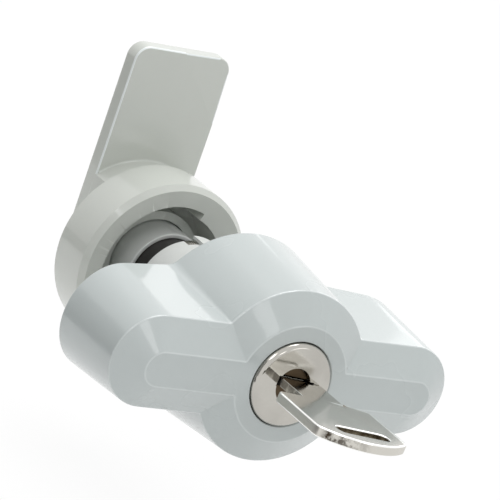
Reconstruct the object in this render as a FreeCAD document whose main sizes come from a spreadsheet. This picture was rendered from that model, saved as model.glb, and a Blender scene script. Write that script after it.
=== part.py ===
import FreeCAD, Part
import math
import os
import re
import Sketcher

# Cabinet key lock: a wing knob with a key cylinder, a bush that clamps it in a door,
# and a cam with a blade that turns behind the door.
# X runs along the wings, Y along the turning axis from the front to the back, Z along the
# blade. The origin lies on the axis in the front face of the door.

doc = FreeCAD.newDocument("CabinetKeyLock")
sheet = doc.addObject("Spreadsheet::Sheet", "Sizes")

driving = [
    ("knob_reach", 30.5, "door face to the flat front of the knob"),
    ("knob_gap", 0.5, "door face to the back of the knob"),
    ("chamfer_depth", 4.2, "flat front to the shoulder edge"),
    ("flat_radius", 13.85, "boss, radius of the flat front"),
    ("shoulder_radius", 20.5, "boss, radius at the shoulder"),
    ("back_radius", 22.8, "boss, radius at the back"),
    ("wing_flat_half", 4.0, "wing, half height of the flat front"),
    ("wing_shoulder_half", 10.8, "wing, half height at the shoulder"),
    ("wing_back_half", 12.9, "wing, half height at the back"),
    ("wing_flat_centre", 33.8, "axis to the tip centre, flat front"),
    ("wing_shoulder_centre", 33.6, "axis to the tip centre, shoulder"),
    ("wing_back_centre", 32.5, "axis to the tip centre, back"),
    ("valley_front", 0.8, "radius between wing and boss at the shoulder"),
    ("valley_back", 3.5, "radius between wing and boss at the back"),
    ("sweep_start", 20.0, "axis to where the back starts to slope forward"),
    ("sweep_end", 45.4, "axis to where that slope is measured"),
    ("sweep_depth", 4.4, "how far forward the back lies there"),
    ("wall", 2.6, "wall of the wings"),
    ("rib_wall", 1.6, "ribs inside the wings"),
    ("rib_drop", 3.0, "ribs below the back edge"),
    ("pocket_floor", 3.0, "thickness behind the front chamfer"),
    ("pocket_side", 1.2, "how much thicker the walls are beside the pockets"),
    ("pocket_start", 0.6, "boss to the start of the pockets"),
    ("pocket_end", 0.4, "how much thinner the wall is at the tip of the pockets"),
    ("face_radius", 9.8, "plug head"),
    ("face_proud", 1.0, "plug head in front of the knob"),
    ("face_bevel", 0.7, "bevel round the plug head"),
    ("face_gap", 0.3, "gap round the plug head"),
    ("head_seat", 3.1, "flat front to the seat of the lock housing"),
    ("housing_radius", 10.5, "lock housing, outside"),
    ("housing_back", 7.3, "door face to the back of the lock housing"),
    ("plug_radius", 7.4, "plug barrel"),
    ("plug_fit", 0.06, "running gap round the plug barrel"),
    ("slide_fit", 0.1, "gap between pieces that slide together"),
    ("turn_gap", 0.3, "gap between faces that turn past each other"),
    ("clip_seat", 1.5, "depth of the seat of the plug clip"),
    ("clip_play", 0.2, "gap in front of the plug clip"),
    ("clip_thick", 0.8, "plug clip"),
    ("clip_radius", 8.6, "plug clip, outside"),
    ("clip_groove", 6.5, "groove in the plug for its clip"),
    ("clip_hold", 1.2, "groove radius to the side of the clip's opening"),
    ("key_tilt", 5.0, "turn of the keyway from level, clockwise"),
    ("key_lift", 0.6, "keyway above the axis"),
    ("recess_radius", 4.2, "round recess in the plug head"),
    ("recess_depth", 2.0, "depth of that recess"),
    ("flap_thick", 0.8, "dust flaps"),
    ("flap_depth", 1.1, "dust flaps below the face"),
    ("slot_left", 4.5, "keyway, axis to its left end"),
    ("slot_right", 5.0, "keyway, axis to its right end"),
    ("slot_half", 1.25, "keyway, half height"),
    ("wafer_count", 5, "wafers"),
    ("wafer_first", 7.5, "face of the plug to the first wafer"),
    ("wafer_pitch", 2.6, "wafer spacing"),
    ("wafer_thick", 1.0, "wafer"),
    ("wafer_half", 3.0, "wafer, half height"),
    ("wafer_window", 1.5, "wafer window, half height"),
    ("lug_wide", 0.8, "lug of a wafer, under its spring"),
    ("lug_high", 2.1, "lug of a wafer, up its side"),
    ("groove_radius", 9.0, "wafer grooves in the housing"),
    ("spring_radius", 0.75, "wafer spring, outside"),
    ("spring_bore", 0.4, "wafer spring, inside"),
    ("spring_long", 4.0, "wafer spring, length"),
    ("spring_side", 4.4, "axis to the wafer springs"),
    ("bow_half", 12.35, "key bow, half width"),
    ("bow_centre", 1.1, "axis to the middle of the bow"),
    ("bow_back", 9.6, "face of the plug to the bow"),
    ("bow_front", 31.3, "face of the plug to the front of the bow"),
    ("bow_arc", 19.5, "bow, radius of its front end"),
    ("bow_corner", 1.6, "bow, radius of its back corners"),
    ("bow_shoulder", 17.0, "slope of the bow's back beside the neck"),
    ("bow_half_thick", 1.2, "bow, half thickness"),
    ("neck_half_thick", 0.95, "neck and blade, half thickness"),
    ("neck_left", 3.9, "neck, axis to its left edge"),
    ("neck_right", 6.9, "neck, axis to its right edge"),
    ("neck_notch", 1.7, "how far the neck shows into the bow"),
    ("neck_gap", 0.3, "face of the plug to the key's shoulder"),
    ("blade_left", 3.9, "key blade, axis to its left edge"),
    ("blade_right", 4.4, "key blade, axis to its right edge"),
    ("blade_long", 20.0, "key blade behind the shoulder"),
    ("blade_tip", 2.5, "slope at the end of the key blade"),
    ("ring_slot_centre", 1.8, "axis to the middle of the slot for the key ring"),
    ("ring_slot_half", 7.1, "slot for the key ring, half length"),
    ("ring_slot_wide", 3.2, "slot for the key ring, width"),
    ("ring_slot_front", 5.5, "front of the bow to the slot"),
    ("stem_radius", 8.9, "stem"),
    ("stem_bore", 5.2, "bore of the stem"),
    ("stem_bore_end", 25.0, "door face to the end of the stem's bore"),
    ("stem_flange_radius", 17.0, "stem flange"),
    ("stem_flange_thick", 3.0, "stem flange"),
    ("stem_screw_circle", 13.6, "axis to the stem screws"),
    ("stem_screw_radius", 1.45, "stem screws"),
    ("stem_screw_head", 2.8, "stem screws, head radius"),
    ("stem_screw_long", 11.0, "stem screws, length"),
    ("stem_screw_count", 4, "stem screws"),
    ("cross_half", 1.6, "cross in the screw heads, half length"),
    ("cross_wide", 0.6, "cross in the screw heads, width"),
    ("cross_deep", 0.7, "cross in the screw heads, depth"),
    ("hole_spare", 1.0, "how much deeper the holes are than their screws"),
    ("square_side", 11.0, "square end of the stem"),
    ("square_fit", 0.08, "gap round the square"),
    ("square_short", 0.6, "end of the square to the back of the cam"),
    ("seal_at", 4.0, "door face to the stem seal"),
    ("seal_cord", 0.8, "stem seal, radius of its section"),
    ("seal_groove", 1.0, "half width of the seal's groove"),
    ("bush_flange_radius", 19.5, "bush flange"),
    ("bush_flange_thick", 3.0, "bush flange"),
    ("bush_radius", 11.8, "bush barrel"),
    ("bush_end", 20.5, "door face to the end of the bush"),
    ("stem_fit", 0.1, "gap between stem and bush"),
    ("gasket_thick", 1.0, "gasket"),
    ("gasket_inner", 12.2, "gasket, inside radius"),
    ("door_thick", 2.5, "door sheet"),
    ("washer_radius", 14.6, "toothed washer"),
    ("washer_thick", 0.8, "toothed washer"),
    ("washer_teeth", 12, "toothed washer"),
    ("nut_corner", 15.2, "bush nut, centre to corner"),
    ("nut_thick", 4.6, "bush nut"),
    ("clip_ring_thick", 1.0, "retaining ring behind the bush"),
    ("clip_ring_radius", 10.4, "retaining ring, outside"),
    ("clip_ring_groove", 8.2, "its groove in the stem"),
    ("clip_ring_gate", 6.0, "its opening"),
    ("tongue_at", 18.2, "door face to the locking tongue"),
    ("tongue_thick", 2.0, "locking tongue"),
    ("tongue_half", 4.1, "locking tongue, half width"),
    ("nose_side", 2.0, "axis to the middle of the nose, to the left"),
    ("nose_half", 1.1, "nose of the tongue, half width"),
    ("nose_rest", 11.8, "axis to the nose, key at rest"),
    ("nose_long", 6.9, "nose of the tongue"),
    ("tongue_tail", 5.4, "axis to the tail of the tongue"),
    ("tongue_travel", 3.0, "travel of the tongue"),
    ("crank_pin_radius", 0.75, "pin that drives the tongue"),
    ("crank_pin_gap", 0.15, "gap round that pin"),
    ("bar_radius", 3.4, "drive bar"),
    ("bar_disc_radius", 4.8, "disc on the drive bar"),
    ("bar_disc_thick", 2.0, "disc on the drive bar"),
    ("bar_gap", 0.2, "drive bar to the tongue"),
    ("bar_square", 4.0, "square end of the drive bar"),
    ("bar_square_long", 2.8, "square end of the drive bar"),
    ("catch_outer", 12.7, "catch, outside radius"),
    ("catch_front", 10.0, "door face to the front of the catch"),
    ("catch_back", 20.8, "door face to the back of the catch"),
    ("catch_gap", 0.2, "gap round the nose of the tongue"),
    ("catch_screw_at", 14.5, "door face to the catch screw"),
    ("catch_screw_radius", 1.0, "catch screw"),
    ("catch_screw_head", 1.6, "catch screw, head"),
    ("catch_screw_bite", 1.5, "catch screw, depth in the bush"),
    ("catch_socket", 0.6, "catch screw, radius of its socket"),
    ("catch_socket_deep", 0.8, "catch screw, depth of its socket"),
    ("sleeve_radius", 10.0, "spacer sleeve, outside"),
    ("sleeve_front", 27.5, "door face to the spacer sleeve"),
    ("cup_radius", 21.5, "cam cup, outside"),
    ("cup_bore", 16.4, "cam cup, free bore"),
    ("cup_stop", 14.7, "cam cup, bore at the stop"),
    ("cup_stop_angle", 20.0, "blade to the stop, clockwise"),
    ("cup_free_angle", 118.0, "free part of the bore"),
    ("cup_front", 28.4, "door face to the rim of the cup"),
    ("cup_floor", 39.0, "door face to the floor of the cup"),
    ("cup_back", 41.2, "door face to the back of the cup"),
    ("cup_bevel", 1.2, "bevel round the rim"),
    ("cup_back_bevel", 1.4, "bevel round the back of the cup"),
    ("cup_boss_inner", 10.3, "ring in the cup, inside"),
    ("cup_boss_outer", 12.3, "ring in the cup, outside"),
    ("cup_boss_high", 3.6, "ring in the cup, height"),
    ("blade_front", 47.5, "door face to the front of the blade"),
    ("blade_thick", 4.2, "blade"),
    ("blade_half", 13.2, "blade, half width"),
    ("blade_top", 46.8, "axis to the end of the blade"),
    ("blade_corner", 3.6, "corners of the blade's end"),
    ("blade_edge", 0.5, "rounded edges of the blade"),
    ("blade_root", 1.4, "radius between blade and cup"),
    ("ramp_turn", 50.0, "blade to the middle of its lead-in, clockwise"),
    ("ramp_start", 29.8, "axis to the line where the lead-in starts"),
    ("ramp_slope", 4.0, "slope of the lead-in"),
    ("screw_radius", 3.9, "cam screw"),
    ("screw_long", 18.0, "cam screw, below its head"),
    ("screw_head_radius", 6.5, "cam screw, head"),
    ("screw_head_thick", 5.0, "cam screw, head"),
    ("screw_socket", 3.5, "cam screw, hexagon, centre to corner"),
    ("cam_washer_radius", 11.0, "cam washer"),
    ("cam_washer_thick", 1.8, "cam washer"),
    ("split_radius", 7.2, "spring washer"),
    ("split_thick", 1.8, "spring washer"),
    ("split_gate", 1.0, "spring washer, gap between its ends"),
    ("hole_gap", 0.4, "gap round the cam screw in its washers"),
    ("edge_break", 0.5, "broken edges"),
]

for row, (alias, number, note) in enumerate(driving, start=1):
    sheet.set("A%d" % row, note)
    sheet.set("B%d" % row, str(number))
    sheet.setAlias("B%d" % row, alias)
doc.recompute()

known = {alias for alias, number, note in driving}
hair = 0.01                          # a length below this counts as none
margins = {"past": "1",              # how far a cutting shape reaches past its piece
           "sunk": "0.2"}            # how far two shapes of one piece overlap
along_axis = FreeCAD.Rotation(FreeCAD.Vector(1, 0, 0), -90)
nodes = []


def full(expression):
    """Put the sheet's name before every size in an expression, and fill in the margins."""
    def prefixed(match):
        word = match.group(0)
        return "Sizes." + word if word in known else margins.get(word, word)
    return re.sub(r"[a-z][a-z_]*", prefixed, expression)


def size(alias):
    return float(sheet.get(alias))


def bind(piece, **expressions):
    for name, expression in expressions.items():
        piece.setExpression(name, full(expression))
    return piece


def place(piece, x="0", y="0", z="0"):
    for axis, expression in zip("xyz", (x, y, z)):
        piece.setExpression(".Placement.Base." + axis, full(expression))
    return piece


def cylinder(radius, start, length, x="0", z="0", angle=None):
    """A cylinder along Y that starts at a distance behind the door face."""
    piece = doc.addObject("Part::Cylinder", "Cylinder")
    piece.Placement.Rotation = along_axis
    bind(piece, Radius=radius, Height=length)
    if angle:
        bind(piece, Angle=angle)
    return place(piece, x, start, z)


def cone(front, back, start, length, x="0", z="0"):
    piece = doc.addObject("Part::Cone", "Cone")
    piece.Placement.Rotation = along_axis
    bind(piece, Radius1=front, Radius2=back, Height=length)
    return place(piece, x, start, z)


def torus(radius, section, distance):
    piece = doc.addObject("Part::Torus", "Torus")
    piece.Placement.Rotation = along_axis
    bind(piece, Radius1=radius, Radius2=section)
    return place(piece, "0", distance, "0")


def box(x, y, z, dx, dy, dz):
    piece = doc.addObject("Part::Box", "Box")
    bind(piece, Length=dx, Width=dy, Height=dz)
    return place(piece, x, y, z)


def fuse(*shapes):
    if len(shapes) == 1:
        return shapes[0]
    piece = doc.addObject("Part::MultiFuse", "Fuse")
    piece.Shapes = list(shapes)
    return piece


def common(first, second):
    piece = doc.addObject("Part::MultiCommon", "Common")
    piece.Shapes = [first, second]
    return piece


def cut(base, *tools):
    piece = doc.addObject("Part::Cut", "Cut")
    piece.Base = base
    piece.Tool = fuse(*tools)
    return piece


def group(*shapes):
    piece = doc.addObject("Part::Compound", "Group")
    piece.Links = list(shapes)
    return piece


def ring(outer, inner, start, length):
    return cut(cylinder(outer, start, length),
               cylinder(inner, start + " - past", length + " + 2 * past"))


def turned_about_axis(piece, degrees):
    """The whole piece turned clockwise, as seen from the front, about the turning axis."""
    holder = doc.addObject("Part::Compound", "Turned")
    holder.Links = [piece]
    holder.Placement.Rotation = FreeCAD.Rotation(FreeCAD.Vector(0, 1, 0), 0)
    holder.setExpression(".Placement.Rotation.Angle", full(degrees))
    return holder


def node(label, piece):
    piece.Label = label
    nodes.append(piece)
    return piece


def polar(radius, degrees):
    return radius * math.cos(math.radians(degrees)), radius * math.sin(math.radians(degrees))


def turned(points):
    """A body turned about Y from its half section, given as (radius, distance) corners."""
    body = doc.addObject("PartDesign::Body", "Turning")
    sketch = body.newObject("Sketcher::SketchObject", "HalfSection")
    plane = [f for f in body.Origin.OriginFeatures if f.Role == "XY_Plane"][0]
    sketch.AttachmentSupport = [(plane, "")]
    sketch.MapMode = "FlatFace"
    corners = [tuple(numeric(word) for word in point) for point in points]
    for i, here in enumerate(corners):
        there = corners[(i + 1) % len(corners)]
        sketch.addGeometry(Part.LineSegment(FreeCAD.Vector(*here, 0),
                                            FreeCAD.Vector(*there, 0)))
    for i in range(len(corners)):
        sketch.addConstraint(Sketcher.Constraint("Coincident", i, 2, (i + 1) % len(corners), 1))
    for i, (point, corner) in enumerate(zip(points, corners)):
        for kind, word, number in zip(("DistanceX", "DistanceY"), point, corner):
            held = sketch.addConstraint(Sketcher.Constraint(kind, -1, 1, i, 1, number))
            sketch.setExpression("Constraints[%d]" % held, full(word))
    revolution = body.newObject("PartDesign::Revolution", "Turned")
    revolution.Profile = sketch
    revolution.ReferenceAxis = (sketch, ["V_Axis"])
    revolution.Angle = 360
    return body


def numeric(word):
    """The value of an expression of sizes, to draw a sketch near its place."""
    holder = doc.getObject("Probe") or doc.addObject("App::FeaturePython", "Probe")
    if not hasattr(holder, "Number"):
        holder.addProperty("App::PropertyFloat", "Number")
    holder.setExpression("Number", full(word))
    holder.recompute()
    return holder.Number


# The knob: a boss and two wings, from the flat front over the shoulder to the back.

def knob_outline(distance, boss, half, centre, valley):
    """The outline of the knob in one plane: boss, wings and the valleys between them."""
    def point(x, z):
        return FreeCAD.Vector(x, distance, z)

    meet_x = math.sqrt((boss + valley) ** 2 - (half + valley) ** 2)
    on_boss_x = boss * meet_x / (boss + valley)
    on_boss_z = boss * (half + valley) / (boss + valley)
    bulge = polar(valley, 0.5 * (180 + math.degrees(math.atan2(half + valley, meet_x)) + 270))
    on_valley = (meet_x + bulge[0], half + valley + bulge[1])
    on_tip = half * math.sqrt(0.5)

    def side(sx, sz):
        """Wing and valley of one quarter, from the tip to the boss."""
        return [
            Part.Arc(point(sx * (centre + half), 0),
                     point(sx * (centre + on_tip), sz * on_tip),
                     point(sx * centre, sz * half)).toShape(),
            Part.LineSegment(point(sx * centre, sz * half),
                             point(sx * meet_x, sz * half)).toShape(),
            Part.Arc(point(sx * meet_x, sz * half),
                     point(sx * on_valley[0], sz * on_valley[1]),
                     point(sx * on_boss_x, sz * on_boss_z)).toShape(),
            Part.Arc(point(sx * on_boss_x, sz * on_boss_z),
                     point(sx * boss * math.sin(0.5 * math.atan2(on_boss_x, on_boss_z)),
                           sz * boss * math.cos(0.5 * math.atan2(on_boss_x, on_boss_z))),
                     point(0, sz * boss)).toShape(),
        ]

    def reverse(edges):
        return [edge for edge in reversed(edges)]

    edges = side(1, 1) + reverse(side(-1, 1)) + side(-1, -1) + reverse(side(1, -1))
    return Part.Wire(Part.__sortEdges__(edges))


front = -size("knob_reach")
shoulder = front + size("chamfer_depth")
back = -size("knob_gap")

outer = Part.makeLoft([
    knob_outline(front, size("flat_radius"), size("wing_flat_half"),
                 size("wing_flat_centre"), size("valley_front") / 2),
    knob_outline(shoulder, size("shoulder_radius"), size("wing_shoulder_half"),
                 size("wing_shoulder_centre"), size("valley_front")),
    knob_outline(back, size("back_radius"), size("wing_back_half"),
                 size("wing_back_centre"), size("valley_back")),
], True, True)

# The back of each wing slopes forward towards its tip.
slope = size("sweep_depth") / (size("sweep_end") - size("sweep_start"))
beyond = 2 * size("wall")
reach = size("wing_back_centre") + size("wing_back_half") + beyond
for side in (1, -1):
    corners = [(size("sweep_start"), back), (reach, back - slope * (reach - size("sweep_start"))),
               (reach, back + beyond), (size("sweep_start"), back + beyond)]
    wedge = Part.makePolygon([FreeCAD.Vector(side * x, y, -reach)
                              for x, y in corners + corners[:1]])
    outer = outer.cut(Part.Face(wedge).extrude(FreeCAD.Vector(0, 0, 2 * reach)))

knob_form = doc.addObject("Part::Feature", "KnobForm")
knob_form.Shape = outer


def wing_pocket(side):
    """The hollow of one wing, open to the back, less its ribs."""
    half = "(wing_back_half - wall - pocket_side)"
    start = "(0 - knob_reach + chamfer_depth + pocket_floor)"
    depth = "(knob_reach - chamfer_depth - pocket_floor)"
    inner = "(back_radius + pocket_start)"
    reach = "wing_shoulder_centre - wall + pocket_end"
    x = inner if side > 0 else "0 - (%s)" % reach
    block = box(x, start, "0 - " + half, "%s - %s" % (reach, inner), depth, "2 * " + half)
    tip = cylinder(half, start, depth, ("" if side > 0 else "0 - ") + "(%s)" % reach)
    narrowed = fuse(block, tip)
    rib_back = depth + " - rib_drop - knob_gap - sweep_depth"
    middle = ("" if side > 0 else "0 - ") + "(%s)" % reach
    upright = box(middle + " - rib_wall / 2", start, "0 - wing_back_half",
                  "rib_wall", rib_back, "2 * wing_back_half")
    level = box(x + (" - wing_back_half" if side < 0 else ""), start, "0 - rib_wall / 2",
                "%s - %s + wing_back_half" % (reach, inner), rib_back, "rib_wall")
    return cut(narrowed, upright, level)


def screw_places():
    turn = 360.0 / size("stem_screw_count")
    for i in range(int(size("stem_screw_count"))):
        yield polar(1, 45 + i * turn)


flange_front = "(0 - housing_back)"
flange_back = "(0 - housing_back + stem_flange_thick)"
screw_x = "stem_screw_circle * %.6f"
knob_cuts = [
    cylinder("face_radius + face_gap", "0 - knob_reach - past", "head_seat + 2 * past"),
    cylinder("housing_radius + slide_fit", "0 - knob_reach + head_seat",
             "knob_reach - head_seat - housing_back + past"),
    cylinder("stem_flange_radius + slide_fit", flange_front, "housing_back"),
    cylinder("bush_flange_radius + 2 * turn_gap",
             "0 - gasket_thick - bush_flange_thick - turn_gap", "housing_back"),
    wing_pocket(1),
    wing_pocket(-1),
]
for across, up in screw_places():
    knob_cuts.append(cylinder("stem_screw_radius + slide_fit / 2",
                              flange_back + " - stem_screw_long - hole_spare", "stem_screw_long",
                              screw_x % across, screw_x % up))
node("knob_shell", cut(knob_form, *knob_cuts))

# The lock cylinder: housing, plug and what the plug carries.

face = "(0 - knob_reach - face_proud)"
housing_front = "(0 - knob_reach + head_seat)"
clip_floor = "(0 - housing_back - clip_seat)"
clip_front = "(0 - housing_back - clip_seat + clip_play)"
plug_back = "(0 - housing_back - turn_gap)"

housing = turned([
    ("plug_radius + plug_fit", housing_front), ("housing_radius - edge_break", housing_front),
    ("housing_radius", housing_front + " + edge_break"), ("housing_radius", "0 - housing_back"),
    ("clip_radius + turn_gap", "0 - housing_back"), ("clip_radius + turn_gap", clip_floor),
    ("plug_radius + plug_fit", clip_floor),
])
wafer_row = "(%s + wafer_first)" % face
wafer_span = "(wafer_pitch * (wafer_count - 1) + wafer_thick)"
groove = box("0 - groove_radius", wafer_row + " - turn_gap", "0 - wafer_half - turn_gap",
             "2 * groove_radius", wafer_span + " + 2 * turn_gap",
             "2 * wafer_half + 2 * turn_gap")
node("lock_housing", cut(housing, groove))

plug_form = turned([
    ("0", face), ("face_radius - face_bevel", face), ("face_radius", face + " + face_bevel"),
    ("face_radius", housing_front + " - turn_gap"), ("plug_radius", housing_front + " - turn_gap"),
    ("plug_radius", clip_front), ("clip_groove", clip_front),
    ("clip_groove", clip_front + " + clip_thick"), ("plug_radius", clip_front + " + clip_thick"),
    ("plug_radius", plug_back), ("0", plug_back),
])
blade_back = "(%s - neck_gap + blade_long)" % face
keyway = box("0 - slot_left", face + " - past", "key_lift - slot_half",
             "slot_left + slot_right", "blade_long - neck_gap + past + turn_gap", "2 * slot_half")
recess = cylinder("recess_radius", face + " - past", "recess_depth + past")
bar_hole = box("0 - bar_square / 2 - square_fit", plug_back + " - bar_square_long",
               "0 - bar_square / 2 - square_fit", "bar_square + 2 * square_fit",
               "bar_square_long + past", "bar_square + 2 * square_fit")
plug_cuts = [keyway, recess, bar_hole]
bitting = (0.7, 0.2, 0.9, 0.4, 0.6)  # depths of the cuts on the right side of the key blade
bitting_sum = 1.1                    # each pair of cuts, right and left, adds up to this
wafers = []
springs = []
for i in range(int(size("wafer_count"))):
    at = "(%s + wafer_pitch * %d)" % (wafer_row, i)
    plug_cuts.append(box("0 - plug_radius", at + " - slide_fit / 2",
                         "0 - wafer_half - slide_fit / 2", "2 * plug_radius",
                         "wafer_thick + slide_fit", "2 * wafer_half + slide_fit"))
    plate = common(cylinder("plug_radius - slide_fit", at, "wafer_thick"),
                   box("0 - plug_radius", at, "0 - wafer_half",
                       "2 * plug_radius", "wafer_thick", "2 * wafer_half"))
    lug = box("spring_long / 2", at, "wafer_half - sunk", "lug_wide", "wafer_thick", "lug_high")
    window = box("0 - slot_left - slide_fit", at + " - past", "key_lift - wafer_window",
                 "slot_left + slot_right + 2 * slide_fit", "wafer_thick + 2 * past",
                 "2 * wafer_window")
    wafers.append(cut(fuse(plate, lug), window))
    plug_cuts.append(box("spring_long / 2 - slide_fit", at + " - slide_fit / 2",
                         "wafer_half - sunk", "plug_radius", "wafer_thick + slide_fit",
                         "lug_high + slide_fit"))
    coil = doc.addObject("Part::Cylinder", "Spring")
    bore = doc.addObject("Part::Cylinder", "SpringBore")
    pocket = doc.addObject("Part::Cylinder", "SpringPocket")
    for piece, radius, long, start in (
            (coil, "spring_radius", "spring_long", "0 - spring_long / 2"),
            (bore, "spring_bore", "spring_long + 2 * past", "0 - spring_long / 2 - past"),
            (pocket, "spring_radius + slide_fit / 2", "spring_long / 2 + plug_radius",
             "0 - spring_long / 2 - slide_fit")):
        piece.Placement.Rotation = FreeCAD.Rotation(FreeCAD.Vector(0, 1, 0), 90)
        bind(piece, Radius=radius, Height=long)
        place(piece, start, at + " + wafer_thick / 2", "spring_side")
    springs.append(cut(coil, bore))
    plug_cuts.append(pocket)
node("key_plug", turned_about_axis(cut(plug_form, *plug_cuts), "key_tilt"))
node("wafers", turned_about_axis(group(*wafers), "key_tilt"))
node("wafer_springs", turned_about_axis(group(*springs), "key_tilt"))

flap_form = cylinder("recess_radius - slide_fit", face + " + flap_depth", "flap_thick")
flap_slot = box("0 - face_radius", face, "key_lift - slot_half",
                "2 * face_radius", "recess_depth", "2 * slot_half")
node("dust_flaps", turned_about_axis(cut(flap_form, flap_slot), "key_tilt"))

clip_gate = box("0 - clip_groove + clip_hold", clip_front + " - past", "0 - clip_radius - past",
                "2 * (clip_groove - clip_hold)", "clip_thick + 2 * past", "clip_radius + past")
node("plug_clip", cut(ring("clip_radius", "clip_groove + slide_fit / 2", clip_front, "clip_thick"),
                      clip_gate))

# The bar that carries the key's turn back to the locking tongue.

pin_side = "(tongue_travel / 2)"
bar = turned([
    ("0", plug_back), ("bar_radius", plug_back),
    ("bar_radius", "tongue_at - bar_gap - bar_disc_thick"),
    ("bar_disc_radius", "tongue_at - bar_gap - bar_disc_thick"),
    ("bar_disc_radius", "tongue_at - bar_gap"), ("0", "tongue_at - bar_gap"),
])
bar_end = box("0 - bar_square / 2", plug_back + " - bar_square_long + slide_fit",
              "0 - bar_square / 2", "bar_square", "bar_square_long + past", "bar_square")
node("drive_bar", fuse(
    bar, turned_about_axis(bar_end, "key_tilt"),
    cylinder("crank_pin_radius", "tongue_at - past", "tongue_thick + past + turn_gap",
             "0 - " + pin_side, "0 - " + pin_side)))

tongue_body = box("0 - tongue_half", "tongue_at", "0 - tongue_tail", "2 * tongue_half",
                  "tongue_thick", "tongue_tail + nose_rest - nose_long")
nose = common(cylinder("nose_rest", "tongue_at", "tongue_thick"),
              box("0 - nose_side - nose_half", "tongue_at", "0", "2 * nose_half",
                  "tongue_thick", "nose_rest"))
pin_far = "(tongue_travel / 2 * sqrt(2))"
tongue_window = box("0 - %s - crank_pin_radius - crank_pin_gap" % pin_far, "tongue_at - past",
                    "0 - %s - crank_pin_radius - crank_pin_gap" % pin_side,
                    "%s - %s + 2 * crank_pin_radius + 2 * crank_pin_gap" % (pin_far, pin_side),
                    "tongue_thick + 2 * past", "2 * crank_pin_radius + 2 * crank_pin_gap")
node("locking_tongue", cut(fuse(tongue_body, nose), tongue_window))

# The key, level with its keyway.

shoulder_at = "(%s - neck_gap)" % face
bow_block = box("bow_centre - bow_half", face + " - bow_front", "key_lift - bow_half_thick",
                "2 * bow_half", "bow_front - bow_back", "2 * bow_half_thick")
front_round = doc.addObject("Part::Cylinder", "BowFront")
bind(front_round, Radius="bow_arc", Height="2 * bow_half_thick")
place(front_round, "bow_centre", face + " - bow_front + bow_arc", "key_lift - bow_half_thick")
beside_neck = box("0", "0", "0", "bow_half", "bow_half", "4 * bow_half_thick")
beside_neck.Placement.Rotation = FreeCAD.Rotation(FreeCAD.Vector(0, 0, 1), -1)
beside_neck.setExpression(".Placement.Rotation.Angle", full("0 - bow_shoulder"))
place(beside_neck, "neck_right", face + " - bow_back", "key_lift - 2 * bow_half_thick")
bow_form = cut(common(bow_block, front_round), beside_neck)
doc.recompute()
bow = doc.addObject("Part::Fillet", "Bow")
bow.Base = bow_form
sides = (size("bow_centre") - size("bow_half"), size("bow_centre") + size("bow_half"))
upright_edges = [i + 1 for i, edge in enumerate(bow_form.Shape.Edges)
                 if edge.BoundBox.YLength < hair
                 and any(abs(edge.BoundBox.XMin - x) < hair and abs(edge.BoundBox.XMax - x) < hair
                         for x in sides)]
back_edges = sorted(upright_edges, key=lambda i: bow_form.Shape.Edges[i - 1].BoundBox.YMax)[-2:]
bow.Edges = [(i, size("bow_corner"), size("bow_corner")) for i in back_edges]

slot_at = face + " - bow_front + ring_slot_front"
slot_low = "key_lift - 2 * bow_half_thick"
ring_slot = [box("ring_slot_centre - ring_slot_half + ring_slot_wide / 2",
                 slot_at + " - ring_slot_wide / 2",
                 slot_low, "2 * ring_slot_half - ring_slot_wide", "ring_slot_wide",
                 "4 * bow_half_thick")]
for side in ("- ring_slot_half + ring_slot_wide / 2", "+ ring_slot_half - ring_slot_wide / 2"):
    end = doc.addObject("Part::Cylinder", "SlotEnd")
    bind(end, Radius="ring_slot_wide / 2", Height="4 * bow_half_thick")
    ring_slot.append(place(end, "ring_slot_centre " + side, slot_at, slot_low))

notch = [box("0 - neck_left", face + " - bow_back - neck_notch", "key_lift + " + z,
             "neck_left + neck_right", "neck_notch + past", "bow_half_thick")
         for z in ("neck_half_thick", "(0 - neck_half_thick) - bow_half_thick")]
neck = box("0 - neck_left", face + " - bow_back - neck_notch - past", "key_lift - neck_half_thick",
           "neck_left + neck_right", "bow_back + neck_notch + past - neck_gap",
           "2 * neck_half_thick")
blade = box("0 - blade_left", shoulder_at + " - past", "key_lift - neck_half_thick",
            "blade_left + blade_right", "blade_long + past", "2 * neck_half_thick")


def chip(x, y, turn):
    """A block turned about Z, with one corner at x and y, that cuts a notch or a sloped end."""
    piece = box("0", "0", "0", "3 * blade_tip", "3 * blade_tip", "4 * neck_half_thick")
    piece.Placement.Rotation = FreeCAD.Rotation(FreeCAD.Vector(0, 0, 1), turn)
    return place(piece, x, y, "key_lift - 2 * neck_half_thick")


blade_cuts = [chip("blade_right", blade_back + " - blade_tip", 45),
              chip("0 - blade_left", blade_back + " - blade_tip", 45)]
for i, depth in enumerate(bitting):
    at = "%s + wafer_pitch * %d + wafer_thick / 2" % (wafer_row, i)
    blade_cuts.append(chip("blade_right - %g" % depth, at, -45))
    blade_cuts.append(chip("0 - blade_left + %g" % (bitting_sum - depth), at, 135))
key_form = fuse(cut(bow, *(ring_slot + notch)), neck, cut(blade, *blade_cuts))
node("key", turned_about_axis(key_form, "key_tilt"))

# The stem: black, screwed to the knob, with a square end for the cam.

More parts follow.
